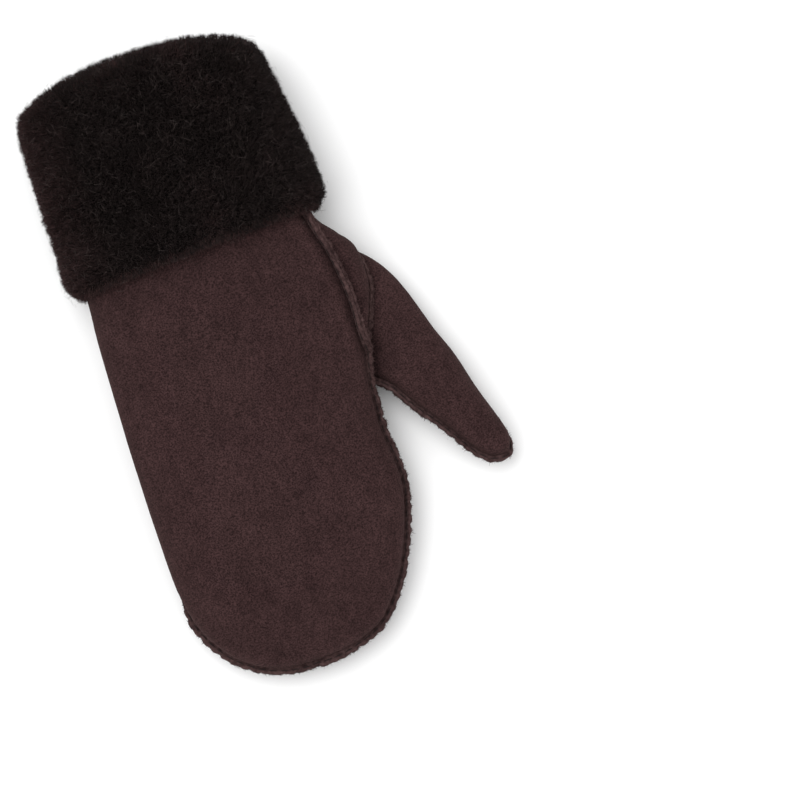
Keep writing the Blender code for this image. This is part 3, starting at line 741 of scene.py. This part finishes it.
def make_seams(hand_tree, thumb_tree):
    """Each seam's mesh, and what is known along its route."""
    hole = hole_route(hand_tree)
    hole = resampled(np.concatenate([hole, hole[:1]]), ROUTE_STEP)[:-1]
    hole = smoothed(hole, 5, True)
    hand = smoothed(resampled(hand_route(), ROUTE_STEP), 4, False)
    thumb = smoothed(resampled(thumb_route(), ROUTE_STEP), 4, False)
    return (
        ridge("hand_ridge", hand, (hand_tree,), False, 3.0, 1.0, 26.0),
        ridge("thumb_hole_ridge", hole, (hand_tree, thumb_tree), True, 17.0, THUMB_SEAMS_SHARE),
        ridge("thumb_ridge", thumb, (thumb_tree,), False, 29.0, THUMB_SEAMS_SHARE, 5.0),
    )


# Skins


def seam_gaps(seams, points):
    """How far each point lies from the seams, in millimetres, and which phase of the stitches is nearest."""
    tree = tree_through(np.concatenate([seam["points"] for seam in seams]))
    phases = np.concatenate([seam["phase"] for seam in seams])
    found = [tree.find(point) for point in points]
    return np.array([f[2] for f in found]) / MM, phases[[f[1] for f in found]]


def pucker(thing, seams, seed, amount=1.0, tucked=()):
    """Draws the leather in beside the seams, and under the tucked ones, and leaves it softly uneven."""
    points, normals = points_of(thing), normals_of(thing)
    gap, phase = seam_gaps(seams, points)
    height = (0.5 + 0.5 * np.cos(2 * math.pi * phase)) * falloff(gap, PUFF_AT) * -PUCKER
    height += PUCKER * falloff(gap - PUFF_AT, 4.0) - falloff(gap, 2.6)
    height += PUCKER * point_noise(points, 165, seed + 5) * falloff(gap, 14)
    height += 0.60 * point_noise(points * (1.0, 0.7, 1.0), 26, seed)
    height += 0.128 * point_noise(points, 85, seed + 2) + 0.07 * point_noise(points, 420, seed + 9)
    height *= amount
    if tucked:
        height -= TUCK * falloff(seam_gaps(tucked, points)[0], 7.0)
    height *= 0.35 + 0.65 * np.abs(normals[:, 2])
    height *= np.clip(points[:, 2] / (4 * MM), 0.0, 1.0)
    set_points(thing, keep_above(points + normals * (height * MM)[:, None], 0.0))


def shade_near(thing, seams, tucked=()):
    """Keeps on each point how pale the suede is: painted shade darker beside a seam, under the tucked seams
    and towards the cuff, and rubbed nap paler on the puffs.
    """
    points = points_of(thing)
    gap, _ = seam_gaps(seams, points)
    # painted shade in the crease along each seam; the paler band past it is rubbed nap on the puffs
    painted_shade_and_wear = 1.0 - 0.62 * falloff(gap, 2.1) + 0.14 * falloff(gap - 6.0, 3.0)
    if tucked:
        # painted shade under the hand's seam, where the thumb tucks beneath it
        painted_shade_and_wear *= 1.0 - 0.62 * falloff(seam_gaps(tucked, points)[0], 7.5)
    along = np.clip(-points[:, 1] / HAND_LENGTH, 0.0, 1.0)
    # painted shade: darker towards the cuff, most of all just under it
    painted_shade_and_wear *= (0.955 + 0.085 * along) * (1.0 - 0.13 * falloff(along, 0.085))
    layer = thing.data.attributes.new("painted_shade_and_wear", "FLOAT", "POINT")
    layer.data.foreach_set("value", painted_shade_and_wear.astype(np.float32))


def thicken(thing, thickness):
    """Gives an open skin a real wall on its inner side."""
    change = thing.modifiers.new("wall", "SOLIDIFY")
    change.thickness = thickness
    change.offset = -1.0
    bpy.context.view_layer.update()
    seen = thing.evaluated_get(bpy.context.evaluated_depsgraph_get())
    mesh = bpy.data.meshes.new_from_object(seen)
    thing.modifiers.clear()
    thing.data = mesh


def joined(name, things):
    """One object holding all the things' faces."""
    built = bmesh.new()
    for thing in things:
        built.from_mesh(thing.data)
    mesh = bpy.data.meshes.new(name)
    built.to_mesh(mesh)
    built.free()
    for thing in things:
        bpy.data.objects.remove(thing)
    return linked(name, mesh)


def split_thumb(thing):
    """The thumb's palm-side panel and the rest, as two objects parted at the thumb's seam."""
    places = np.linspace(0, THUMB_LAST, 300)
    turns = np.linspace(0, 2 * math.pi, 181)
    tree = tree_through(thumb_surface(places[:, None], turns[None, :]).reshape(-1, 3))
    palm = set()
    for face in thing.data.polygons:
        _, i, _ = tree.find(face.center)
        at, turn = places[i // len(turns)], math.degrees(turns[i % len(turns)])
        along = float(spline(THUMB_SECTIONS, at)[0, 0])
        first, last = seam_angle(THUMB_SEAM_BACK, along), 360 + seam_angle(THUMB_SEAM, along)
        if first < turn < last and at > PALM_PANEL_FROM:
            palm.add(face.index)
    halves = []
    for name, kept in (("thumb_palm_skin", True), ("thumb_back_skin", False)):
        half = linked(name, thing.data.copy())
        drop_faces(half, lambda face: (face.index in palm) != kept)
        halves.append(half)
    bpy.data.objects.remove(thing)
    return halves


def make_skins(hand, thumb, hand_tree, thumb_tree, seams):
    """The hand's skin and the thumb's two panels, puckered along the seams and given their thickness."""
    hand_seam, hole_seam, thumb_seam = seams
    drop_inside(hand, thumb_tree, SKIN_OVERLAP)
    drop_inside(thumb, hand_tree, SKIN_OVERLAP)
    pucker(hand, (hand_seam, hole_seam), 0.0)
    pucker(thumb, (thumb_seam, hole_seam), 40.0, 0.75, (hand_seam,))
    panels = split_thumb(thumb)
    for panel in panels:
        thicken(panel, LEATHER * 0.9)
    inside = capped_grid("inside", hand_surface, hand_place(-1.0), HAND_LAST, INSIDE_GRID, LEATHER)
    drop_inside(inside, thumb_tree, 0.5 * MM)
    flip(inside)
    hand = joined("hand_skin", (hand, inside))
    shade_near(hand, seams)
    for panel in panels:
        shade_near(panel, seams, (hand_seam,))
    return hand, *panels


def make_lining():
    """The pile inside the hand and the thumb, with its leather side against the skin."""
    face = LEATHER + LINING_CLEARANCE
    end = hand_place(-1 + (CUFF_LIP + LIP_GAP) / (SLEEVE_LENGTH * (1 - CUFF_BOW)))
    outer = capped_grid("outer", hand_surface, end, HAND_LAST, (60, 72), face)
    pile = capped_grid("pile", hand_surface, end, HAND_LAST, (110, 120), face + LINING_PILE)
    thumb_face = capped_grid("thumb_face", thumb_surface, 1.3, THUMB_LAST, (34, 36), face)
    thumb_pile = capped_grid("thumb_pile", thumb_surface, 2.0, THUMB_LAST, (46, 44), face + THUMB_PILE)
    for one, other in ((outer, thumb_face), (pile, thumb_pile)):
        one_tree, other_tree = tree_of(one), tree_of(other)
        drop_inside(one, other_tree)
        drop_inside(other, one_tree)
    for thing, seed in ((pile, 2.0), (thumb_pile, 6.0)):
        points, normals = points_of(thing), normals_of(thing)
        lump = point_noise(points, 260, seed) * 0.8 + point_noise(points, 600, seed) * 0.4
        set_points(thing, points + normals * (lump * MM)[:, None])
        flip(thing)
    return joined("lining_pile", (outer, pile, thumb_face, thumb_pile))


# The cuff's shape, as in the CAD source


def cuff_spots(along, turns, lift):
    """Points off the sleeve's surface, lifted straight out from its axis."""
    at = np.full(turns.shape, hand_place(along))
    outer = hand_surface(at, turns)
    out = outer - hand_surface(at, turns, 1 * MM)
    out[:, 1] = 0.0
    return outer + unit(out) * np.asarray(lift).reshape(-1, 1)


def cuff_piles(turns):
    """The wool's depth: more on top, less in the parting along the little-finger side."""
    on_top = np.maximum(0.0, np.sin(turns)) ** 0.7
    parting = falloff(np.degrees(turns) - PARTING_AT, PARTING_REACH)
    return CUFF_PILE + (CUFF_PILE_ON_TOP - CUFF_PILE) * on_top - PARTING_DEPTH * parting


def edge_shifts(x, turns):
    """How far the cuff's lower edge lies from the wrist: it slants, and rises on the palm side."""
    on_palm = np.maximum(0.0, -np.sin(turns)) ** 0.8
    return LEATHER + CUFF_TILT * x + CUFF_PALM_RISE * on_palm


def sleeve_end(turns):
    return hand_surface(np.full(turns.shape, hand_place(-1.0)), turns)[:, 1]


def cuff_row(turns, side, place, share, sink):
    """One row of the cuff's shown surface, pressed in by sink."""
    pile = cuff_piles(turns)
    if side == "out":
        lift = CLEARANCE + np.maximum(share * pile - sink, 0.25 * share * pile)
        spots = cuff_spots(-max(0.0, place), turns, lift)
        spots[:, 1] += edge_shifts(spots[:, 0], turns) * (1 - max(0.0, place)) ** 2
    elif side == "rim":
        inner = np.full(turns.shape, LEATHER + CLEARANCE + LINING_PILE - sink * 0.5)
        spots = cuff_spots(-1.0, turns, share * (pile - sink if share > 0 else inner))
        spots[:, 1] = sleeve_end(turns) + place * (CUFF_RIM - sink)
    else:
        lift = LEATHER + CLEARANCE + share * (LINING_PILE - sink * 0.4)
        spots = cuff_spots(-1.0, turns, np.full(turns.shape, -lift))
        spots[:, 1] = sleeve_end(turns) - place * CUFF_LIP
    return keep_above(spots, 0.0)


def cuff_underside(turns):
    """The cuff's hidden face along the leather, from the lip round the sleeve's end to the lower edge."""
    gap = np.full(turns.shape, LEATHER_GAP)
    rows = []
    for back in (CUFF_LIP, CUFF_LIP / 2, -END_GAP):
        spots = cuff_spots(-1.0, turns, -(LEATHER + gap))
        spots[:, 1] = sleeve_end(turns) - back
        rows.append(spots)
    spots = cuff_spots(-1.0, turns, gap)
    spots[:, 1] = sleeve_end(turns) + END_GAP
    rows.append(spots)
    for along in (-0.75, -0.5, -0.25, 0.0):
        spots = cuff_spots(along, turns, gap)
        spots[:, 1] += edge_shifts(spots[:, 0], turns) * (1 + along) ** 2
        rows.append(spots)
    return keep_above(np.array(rows), FLOOR_GAP)


def along_rows(rows, count):
    """A smooth surface through the rows, with count rows evenly spaced."""
    fine = np.linspace(0, len(rows) - 1, 12 * len(rows))
    flat = rows.reshape(len(rows), -1)
    smooth = spline(flat, fine).reshape(len(fine), -1, 3)
    run = run_up(np.linalg.norm(np.diff(smooth, axis=0), axis=2).mean(axis=1))
    return spline(flat, evenly(run, fine, count)).reshape(count, -1, 3)


def cuff_backing(shown, turns):
    """The fur's solid ground, lumpy under the tufts, and the ways out of it."""
    flat = shown.reshape(-1, 3)
    ahead = np.gradient(shown, axis=0)
    aside = np.roll(shown, -1, axis=1) - np.roll(shown, 1, axis=1)
    out = unit(np.cross(aside, ahead).reshape(-1, 3))
    if ((flat - flat.mean(axis=0)) * out).sum() < 0:
        out = -out
    lump = point_noise(flat, 190, 60.0) * 0.4 + point_noise(flat, 420, 64.0) * 0.25
    flat = keep_above(flat + out * (lump * MM)[:, None], 0.0)
    rows = np.concatenate([flat.reshape(shown.shape), cuff_underside(turns)])
    faces = grid_faces(len(rows), len(turns), wrap_rows=True)
    thing = mesh_from("cuff_backing", rows.reshape(-1, 3), faces)

    def merge(built):
        bmesh.ops.remove_doubles(built, verts=built.verts, dist=0.01 * MM)
        face_outward(built)

    edit_mesh(thing, merge)
    return thing, out.reshape(shown.shape)


# Fur


def between(field, i, j, u, v):
    """The field's values u of the way to the next row and v of the way to the next column."""
    after = (j + 1) % field.shape[1]
    u, v = u[:, None], v[:, None]
    low = field[i, j] * (1 - v) + field[i, after] * v
    high = field[i + 1, j] * (1 - v) + field[i + 1, after] * v
    return low * (1 - u) + high * u


def fur(shown, outs, rng):
    """Short dense wool in tufts: every fibre leans towards the tip of its own tuft."""
    rows, cols = shown.shape[:2]
    after = np.roll(shown, -1, axis=1)
    area = np.cross(after[:-1] - shown[:-1], shown[1:] - shown[:-1])
    area = np.linalg.norm(area, axis=2).ravel()
    total = FUR_FIBRES * len(FUR_PIECES)
    pick = rng.choice(len(area), total, p=area / area.sum())
    i, j = pick // cols, pick % cols
    u, v = rng.random(total), rng.random(total)
    root, out = between(shown, i, j, u, v), unit(between(outs, i, j, u, v))
    station = (i + u) / (rows - 1)

    chosen = rng.choice(total, TUFTS, replace=False)
    tree = tree_through(root[chosen])
    own = np.array([tree.find(p)[1] for p in root])
    sway = np.stack([point_noise(root[chosen], 45, seed) for seed in (1.0, 5.0, 9.0)], axis=1)
    lean = rng.normal(0, 0.26, (TUFTS, 3)) + sway * 0.8
    lean[:, 1] -= 0.10
    centre, away = root[chosen][own], out[chosen][own]

    long = rng.uniform(0.74, 1.08, total) * FUR_LENGTH * (0.85 + 0.3 * rng.random(TUFTS)[own])
    long *= np.clip(station / 0.07, 0.45, 1.0)
    long *= 1 - 0.45 * np.clip((station - 0.82) / 0.1, 0, 1)
    way = away * 0.8 + out * 0.6 + lean[own] * 0.75 + rng.normal(0, 0.20, (total, 3))
    way -= out * np.minimum(0.0, (way * out).sum(axis=1) - 0.45)[:, None]
    tip = root + unit(way) * long[:, None]
    gather = TUFT_GATHER * rng.uniform(0.5, 1.0, total)[:, None]
    tip += (centre + away * TUFT_HEIGHT - tip) * gather
    bend = rng.normal(0, 0.10, (total, 3)) * long[:, None] + out * 0.10 * long[:, None]
    root = keep_above(root - out * 0.4 * MM, 0.15 * MM)
    tip = keep_above(tip, 0.15 * MM)
    width = rng.uniform(0.20, 0.38, total) * MM
    things = []
    for n, name in enumerate(FUR_PIECES):
        part = slice(n * FUR_FIBRES, (n + 1) * FUR_FIBRES)
        things.append(ribbons(name, root[part], tip[part], bend[part], width[part], rng))
        raise_thing(things[-1], FLOOR_GAP)
    return things


def rim_fur(name, shown, outs, rng):
    """Finer reddish fibres along the lower edge and over the end."""
    rows, cols = shown.shape[:2]
    count = RIM_FIBRES
    low = rng.random(count) < RIM_LOW_SHARE
    station = np.where(low, np.abs(rng.normal(0, 0.022, count)), rng.normal(0.80, 0.045, count))
    station = np.clip(station, 0, 0.97) * (rows - 1)
    i = station.astype(int)
    j = rng.integers(0, cols, count)
    u, v = station - i, rng.random(count)
    root, out = between(shown, i, j, u, v), unit(between(outs, i, j, u, v))
    way = out + rng.normal(0, 0.45, (count, 3))
    way[:, 1] += np.where(low, -0.20, 0.10)
    long = rng.uniform(0.7, 1.15, count) * np.where(low, RIM_LENGTH_LOW, RIM_LENGTH)
    tip = keep_above(root + unit(way) * long[:, None], 0.15 * MM)
    root = keep_above(root, 0.15 * MM)
    bend = rng.normal(0, 0.12, (count, 3)) * long[:, None]
    thing = ribbons(name, root, tip, bend, rng.uniform(0.14, 0.24, count) * MM, rng)
    raise_thing(thing, FLOOR_GAP)
    return thing


def stray_fur(name, shown, outs, rng):
    """Fine lighter fibres lying over the tufts, most of them curled; their pale colour is partly a painted
    glint on the wool.
    """
    rows, cols = shown.shape[:2]
    count = STRAY_FIBRES
    i = rng.integers(1, int(rows * 0.86), count)
    j = rng.integers(0, cols, count)
    root = shown[i, j] + rng.normal(0, 0.7, (count, 3)) * MM
    out = outs[i, j]
    flat = rng.normal(size=(count, 3))
    flat = unit(flat - out * (flat * out).sum(axis=1, keepdims=True))
    long = rng.uniform(2.0, 5.0, count)[:, None] * MM
    root = root + out * rng.uniform(3.4, 4.6, count)[:, None] * MM
    tip = root + flat * long + out * rng.normal(0.1, 0.5, count)[:, None] * MM
    bend = np.cross(out, flat) * long * rng.normal(0, 0.16, count)[:, None] + out * 0.3 * MM
    root, tip = keep_above(root, 0.3 * MM), keep_above(tip, 0.3 * MM)
    return ribbons(name, root, tip, bend, rng.uniform(0.06, 0.12, count) * MM, rng)


def make_cuff(rng):
    """The cuff's ground, its wool in three pieces, the reddish rim and the loose pale fibres with their
    partly painted glint.
    """
    turns = even_turns(hand_surface, hand_place(-0.5), CUFF_TURNS)
    rows = [cuff_row(turns, *row, FUR_SINK) for row in CUFF_SECTION]
    shown = keep_above(along_rows(np.array(rows), CUFF_STATIONS), 0.0)
    backing, outs = cuff_backing(shown, turns)
    hairs = fur(shown, outs, rng)
    rim = rim_fur("fur_rim", shown, outs, rng)
    strays = stray_fur("fur_stray", shown, outs, rng)
    return backing, hairs, rim, strays


# Materials


def fed(tree, made, **values):
    """Sets a node's inputs, or links those whose value is another node's output."""
    for key, value in values.items():
        socket = made.inputs[key.replace("_", " ")]
        if isinstance(value, bpy.types.NodeSocket):
            tree.links.new(value, socket)
        else:
            socket.default_value = value
    return made


def node(tree, kind, **values):
    return fed(tree, tree.nodes.new(kind), **values)


def grown(tree, coords, scale, detail=4.0, rough=0.55, stretch=None):
    """Noise over the surface, stretched along the axes where stretch is given."""
    if stretch:
        coords = node(tree, "ShaderNodeMapping", Vector=coords, Scale=stretch).outputs["Vector"]
    made = node(tree, "ShaderNodeTexNoise", Vector=coords, Scale=scale, Detail=detail, Roughness=rough)
    return made.outputs["Fac"]


def ramp(tree, source, first, last):
    """Colours between two stops, each a position and a colour."""
    made = node(tree, "ShaderNodeValToRGB", Fac=source)
    for element, (position, colour) in zip(made.color_ramp.elements, (first, last)):
        element.position = position
        element.color = (*colour, 1)
    return made.outputs["Color"]


def blended(tree, kind, share, first, second):
    made = tree.nodes.new("ShaderNodeMix")
    made.data_type = "RGBA"
    made.blend_type = kind
    fed(tree, made, Factor=share, A=first, B=second)
    return next(output for output in made.outputs if output.type == "RGBA")


def bumped(tree, *sources):
    """Chained bumps, each from a height, a strength and a distance."""
    below = {}
    for height, strength, distance in sources:
        made = node(tree, "ShaderNodeBump", Height=height, Strength=strength, Distance=distance, **below)
        below = {"Normal": made.outputs["Normal"]}
    return made.outputs["Normal"]


def material(name, rough, specular, sheen, tint):
    """A new material, with its tree, its shader and its coordinates."""
    made = bpy.data.materials.new(name)
    made.use_nodes = True
    tree = made.node_tree
    shader = fed(tree, tree.nodes["Principled BSDF"], Roughness=rough, Specular_IOR_Level=specular)
    fed(tree, shader, Sheen_Weight=sheen, Sheen_Roughness=0.6, Sheen_Tint=(*tint, 1))
    return made, tree, shader, tree.nodes.new("ShaderNodeTexCoord").outputs["Object"]


def suede_material():
    """Clouds, brushed nap and fine flecks, darkened by the painted shade and paled by the rubbed nap that
    shade_near keeps on the points.
    """
    made, tree, shader, coords = material("suede", 0.96, 0.06, 0.045, (0.70, 0.42, 0.38))
    nap = grown(tree, coords, 210, 5.0, 0.7, (1.0, 0.45, 1.0))
    fleck = grown(tree, coords, 1500, 2.0, 0.6)
    clouds = ramp(tree, grown(tree, coords, 34, 5.0, 0.62), *SUEDE_CLOUDS)
    colour = blended(tree, "MIX", 0.52, clouds, ramp(tree, nap, *SUEDE_NAP))
    colour = blended(tree, "MULTIPLY", 0.95, colour, ramp(tree, fleck, *SUEDE_FLECKS))
    # the painted shade and wear kept by shade_near multiply the colour
    painted_shade_and_wear = tree.nodes.new("ShaderNodeAttribute")
    painted_shade_and_wear.attribute_name = "painted_shade_and_wear"
    colour = blended(tree, "MULTIPLY", 1.0, colour, painted_shade_and_wear.outputs["Color"])
    normal = bumped(tree, (nap, 0.35, 0.6 * MM), (fleck, 0.55, 0.3 * MM))
    fed(tree, shader, Base_Color=colour, Normal=normal)
    return made


def edge_material():
    """The raw edge of sheepskin: streaks of cut fibre over paler and darker patches."""
    made, tree, shader, coords = material("raw_edge", 0.97, 0.05, 0.05, (0.70, 0.45, 0.42))
    streak = grown(tree, coords, 520, 4.0, 0.75)
    patch = ramp(tree, grown(tree, coords, 120, 3.0, 0.6), *EDGE_PATCHES)
    colour = blended(tree, "MIX", 0.45, ramp(tree, streak, *EDGE_STREAKS), patch)
    normal = bumped(tree, (streak, 0.8, 0.5 * MM), (grown(tree, coords, 2400, 2.0), 0.6, 0.3 * MM))
    fed(tree, shader, Base_Color=colour, Normal=normal)
    return made


def fibre_material(name, scale, rough=0.85, sheen=0.05, warm=None):
    """Fibres between a dark and a pale colour; with warm, redder towards the little-finger side."""
    low, high = FIBRES[name]
    made, tree, shader, coords = material(name, rough, 0.18, sheen, (0.6, 0.45, 0.42))
    each = grown(tree, coords, scale, 2.0, 0.6)
    fine = ramp(tree, each, (0.30, low), (0.72, high))
    shade = ramp(tree, grown(tree, coords, 60, 3.0, 0.6), *FIBRE_SHADES)
    colour = blended(tree, "MULTIPLY", 1.0, fine, shade)
    if warm:
        across = node(tree, "ShaderNodeSeparateXYZ", Vector=coords).outputs["X"]
        near = node(tree, "ShaderNodeMapRange", Value=across, From_Min=WARM_FROM, From_Max=WARM_TO)
        red = ramp(tree, each, (0.30, [c * 1.5 for c in low]), (0.72, warm))
        colour = blended(tree, "MIX", near.outputs["Result"], colour, red)
        patch = ramp(tree, grown(tree, coords, 28, 3.0), (0.56, (0, 0, 0)), (0.74, (1, 1, 1)))
        colour = blended(tree, "MIX", patch, colour, blended(tree, "MIX", 0.5, colour, red))
    fed(tree, shader, Base_Color=colour, Normal=bumped(tree, (each, 0.25, 0.3 * MM)))
    return made


def floor_material():
    made, tree, shader, coords = material("pale_floor", 0.7, 0.25, 0.0, (1, 1, 1))
    fed(tree, shader, Base_Color=ramp(tree, grown(tree, coords, 3.0, 2.0), *FLOOR_GREYS))
    return made


# The dressed mitten


def dress(thing, look, nodes=()):
    """Gives a piece its material and body, and hides the CAD nodes it stands for."""
    thing.data.materials.clear()
    thing.data.materials.append(look)
    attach(thing, "root")
    if nodes:
        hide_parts(*nodes)


def move_all(things, shift):
    """Moves the pieces to where the frame has the mitten, and keeps them off the floor."""
    for thing in things:
        set_points(thing, keep_above(points_of(thing) - shift, 0.0))


def build():
    rng = np.random.default_rng(SEED)
    hand = capped_grid("hand_skin", hand_surface, hand_place(-1.0), HAND_LAST, HAND_GRID)
    thumb = capped_grid("thumb", thumb_surface, 0.0, THUMB_LAST, THUMB_GRID)
    trees = tree_of(hand), tree_of(thumb)
    shift = points_of(hand).min(axis=0) - np.array(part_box("hand_shell")[0])
    shift[2] = 0.0

    ridges, seams = zip(*make_seams(*trees))
    fuzz = fray("edge_fray", seams, rng)
    stitches = threads("seam_thread", seams)
    skins = make_skins(hand, thumb, *trees, seams)
    lining = make_lining()
    backing, hairs, rim, strays = make_cuff(rng)
    move_all([*skins, *ridges, fuzz, stitches, lining, backing, *hairs, rim, strays], shift)

    suede, edge = suede_material(), edge_material()
    for skin, name in zip(skins, ("hand_shell", "thumb_inner", "thumb_outer")):
        dress(skin, suede, (name,))
    for thing, name in zip(ridges, ("hand_seam", "thumb_hole_seam", "thumb_seam")):
        dress(thing, edge, (name,))
    dress(fuzz, edge)
    dress(stitches, fibre_material("thread", 2200))
    dress(lining, fibre_material("lining_wool", 900), ("wool_lining", "thumb_lining"))
    dress(backing, fibre_material("cuff_ground", 700, 0.95, 0.0), ("fur_cuff",))
    wool = fibre_material("cuff_fur", 1300, 0.75, 0.03, WARM_WOOL)
    for hair in hairs:
        dress(hair, wool)
    dress(rim, fibre_material("cuff_rim", 1100))
    # the loose fibres' paler material partly paints a glint on the wool
    dress(strays, fibre_material("stray_glint", 1500, 0.6))


# Floor, light and camera


def area_light(name, place, size, power):
    """A round soft light that points at the origin."""
    data = bpy.data.lights.new(name, "AREA")
    data.shape = "DISK"
    data.size = size
    data.energy = power
    lamp = linked(name, data)
    lamp.location = place
    lamp.rotation_euler = (-Vector(place)).to_track_quat("-Z", "Y").to_euler()


def stage_and_light():
    corners = [(-1, -1, 0), (1, -1, 0), (1, 1, 0), (-1, 1, 0)]
    floor = mesh_from("floor", np.array(corners) * FLOOR_HALF, [(0, 1, 2, 3)])
    floor.location.z = -FLOOR_DROP
    floor.data.materials.append(floor_material())
    world = bpy.data.worlds.new("studio")
    world.use_nodes = True
    back = world.node_tree.nodes["Background"]
    back.inputs["Color"].default_value = (1.0, 1.0, 1.0, 1)
    back.inputs["Strength"].default_value = 0.78
    bpy.context.scene.world = world
    area_light("key", (-0.38, 0.42, 1.25), 1.4, 17)
    area_light("fill", (0.65, -0.35, 1.05), 1.3, 3.0)
    bpy.context.scene.view_settings.view_transform = "Standard"


def camera():
    """Looks straight down, turned so that the mitten slants as in the photo."""
    data = bpy.data.cameras.new("camera")
    data.lens = 100
    data.sensor_width = 36
    eye = linked("camera", data)
    eye.matrix_world = Matrix.Translation(CAMERA_PLACE) @ Matrix.Rotation(CAMERA_TURN, 4, "Z")
    bpy.context.scene.camera = eye


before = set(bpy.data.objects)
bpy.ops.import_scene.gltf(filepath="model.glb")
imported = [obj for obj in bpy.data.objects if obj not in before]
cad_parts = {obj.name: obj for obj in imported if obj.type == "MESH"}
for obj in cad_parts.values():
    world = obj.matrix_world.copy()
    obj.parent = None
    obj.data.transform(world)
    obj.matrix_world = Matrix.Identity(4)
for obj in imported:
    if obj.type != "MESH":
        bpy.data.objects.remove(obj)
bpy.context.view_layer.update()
build()
stage_and_light()
camera()
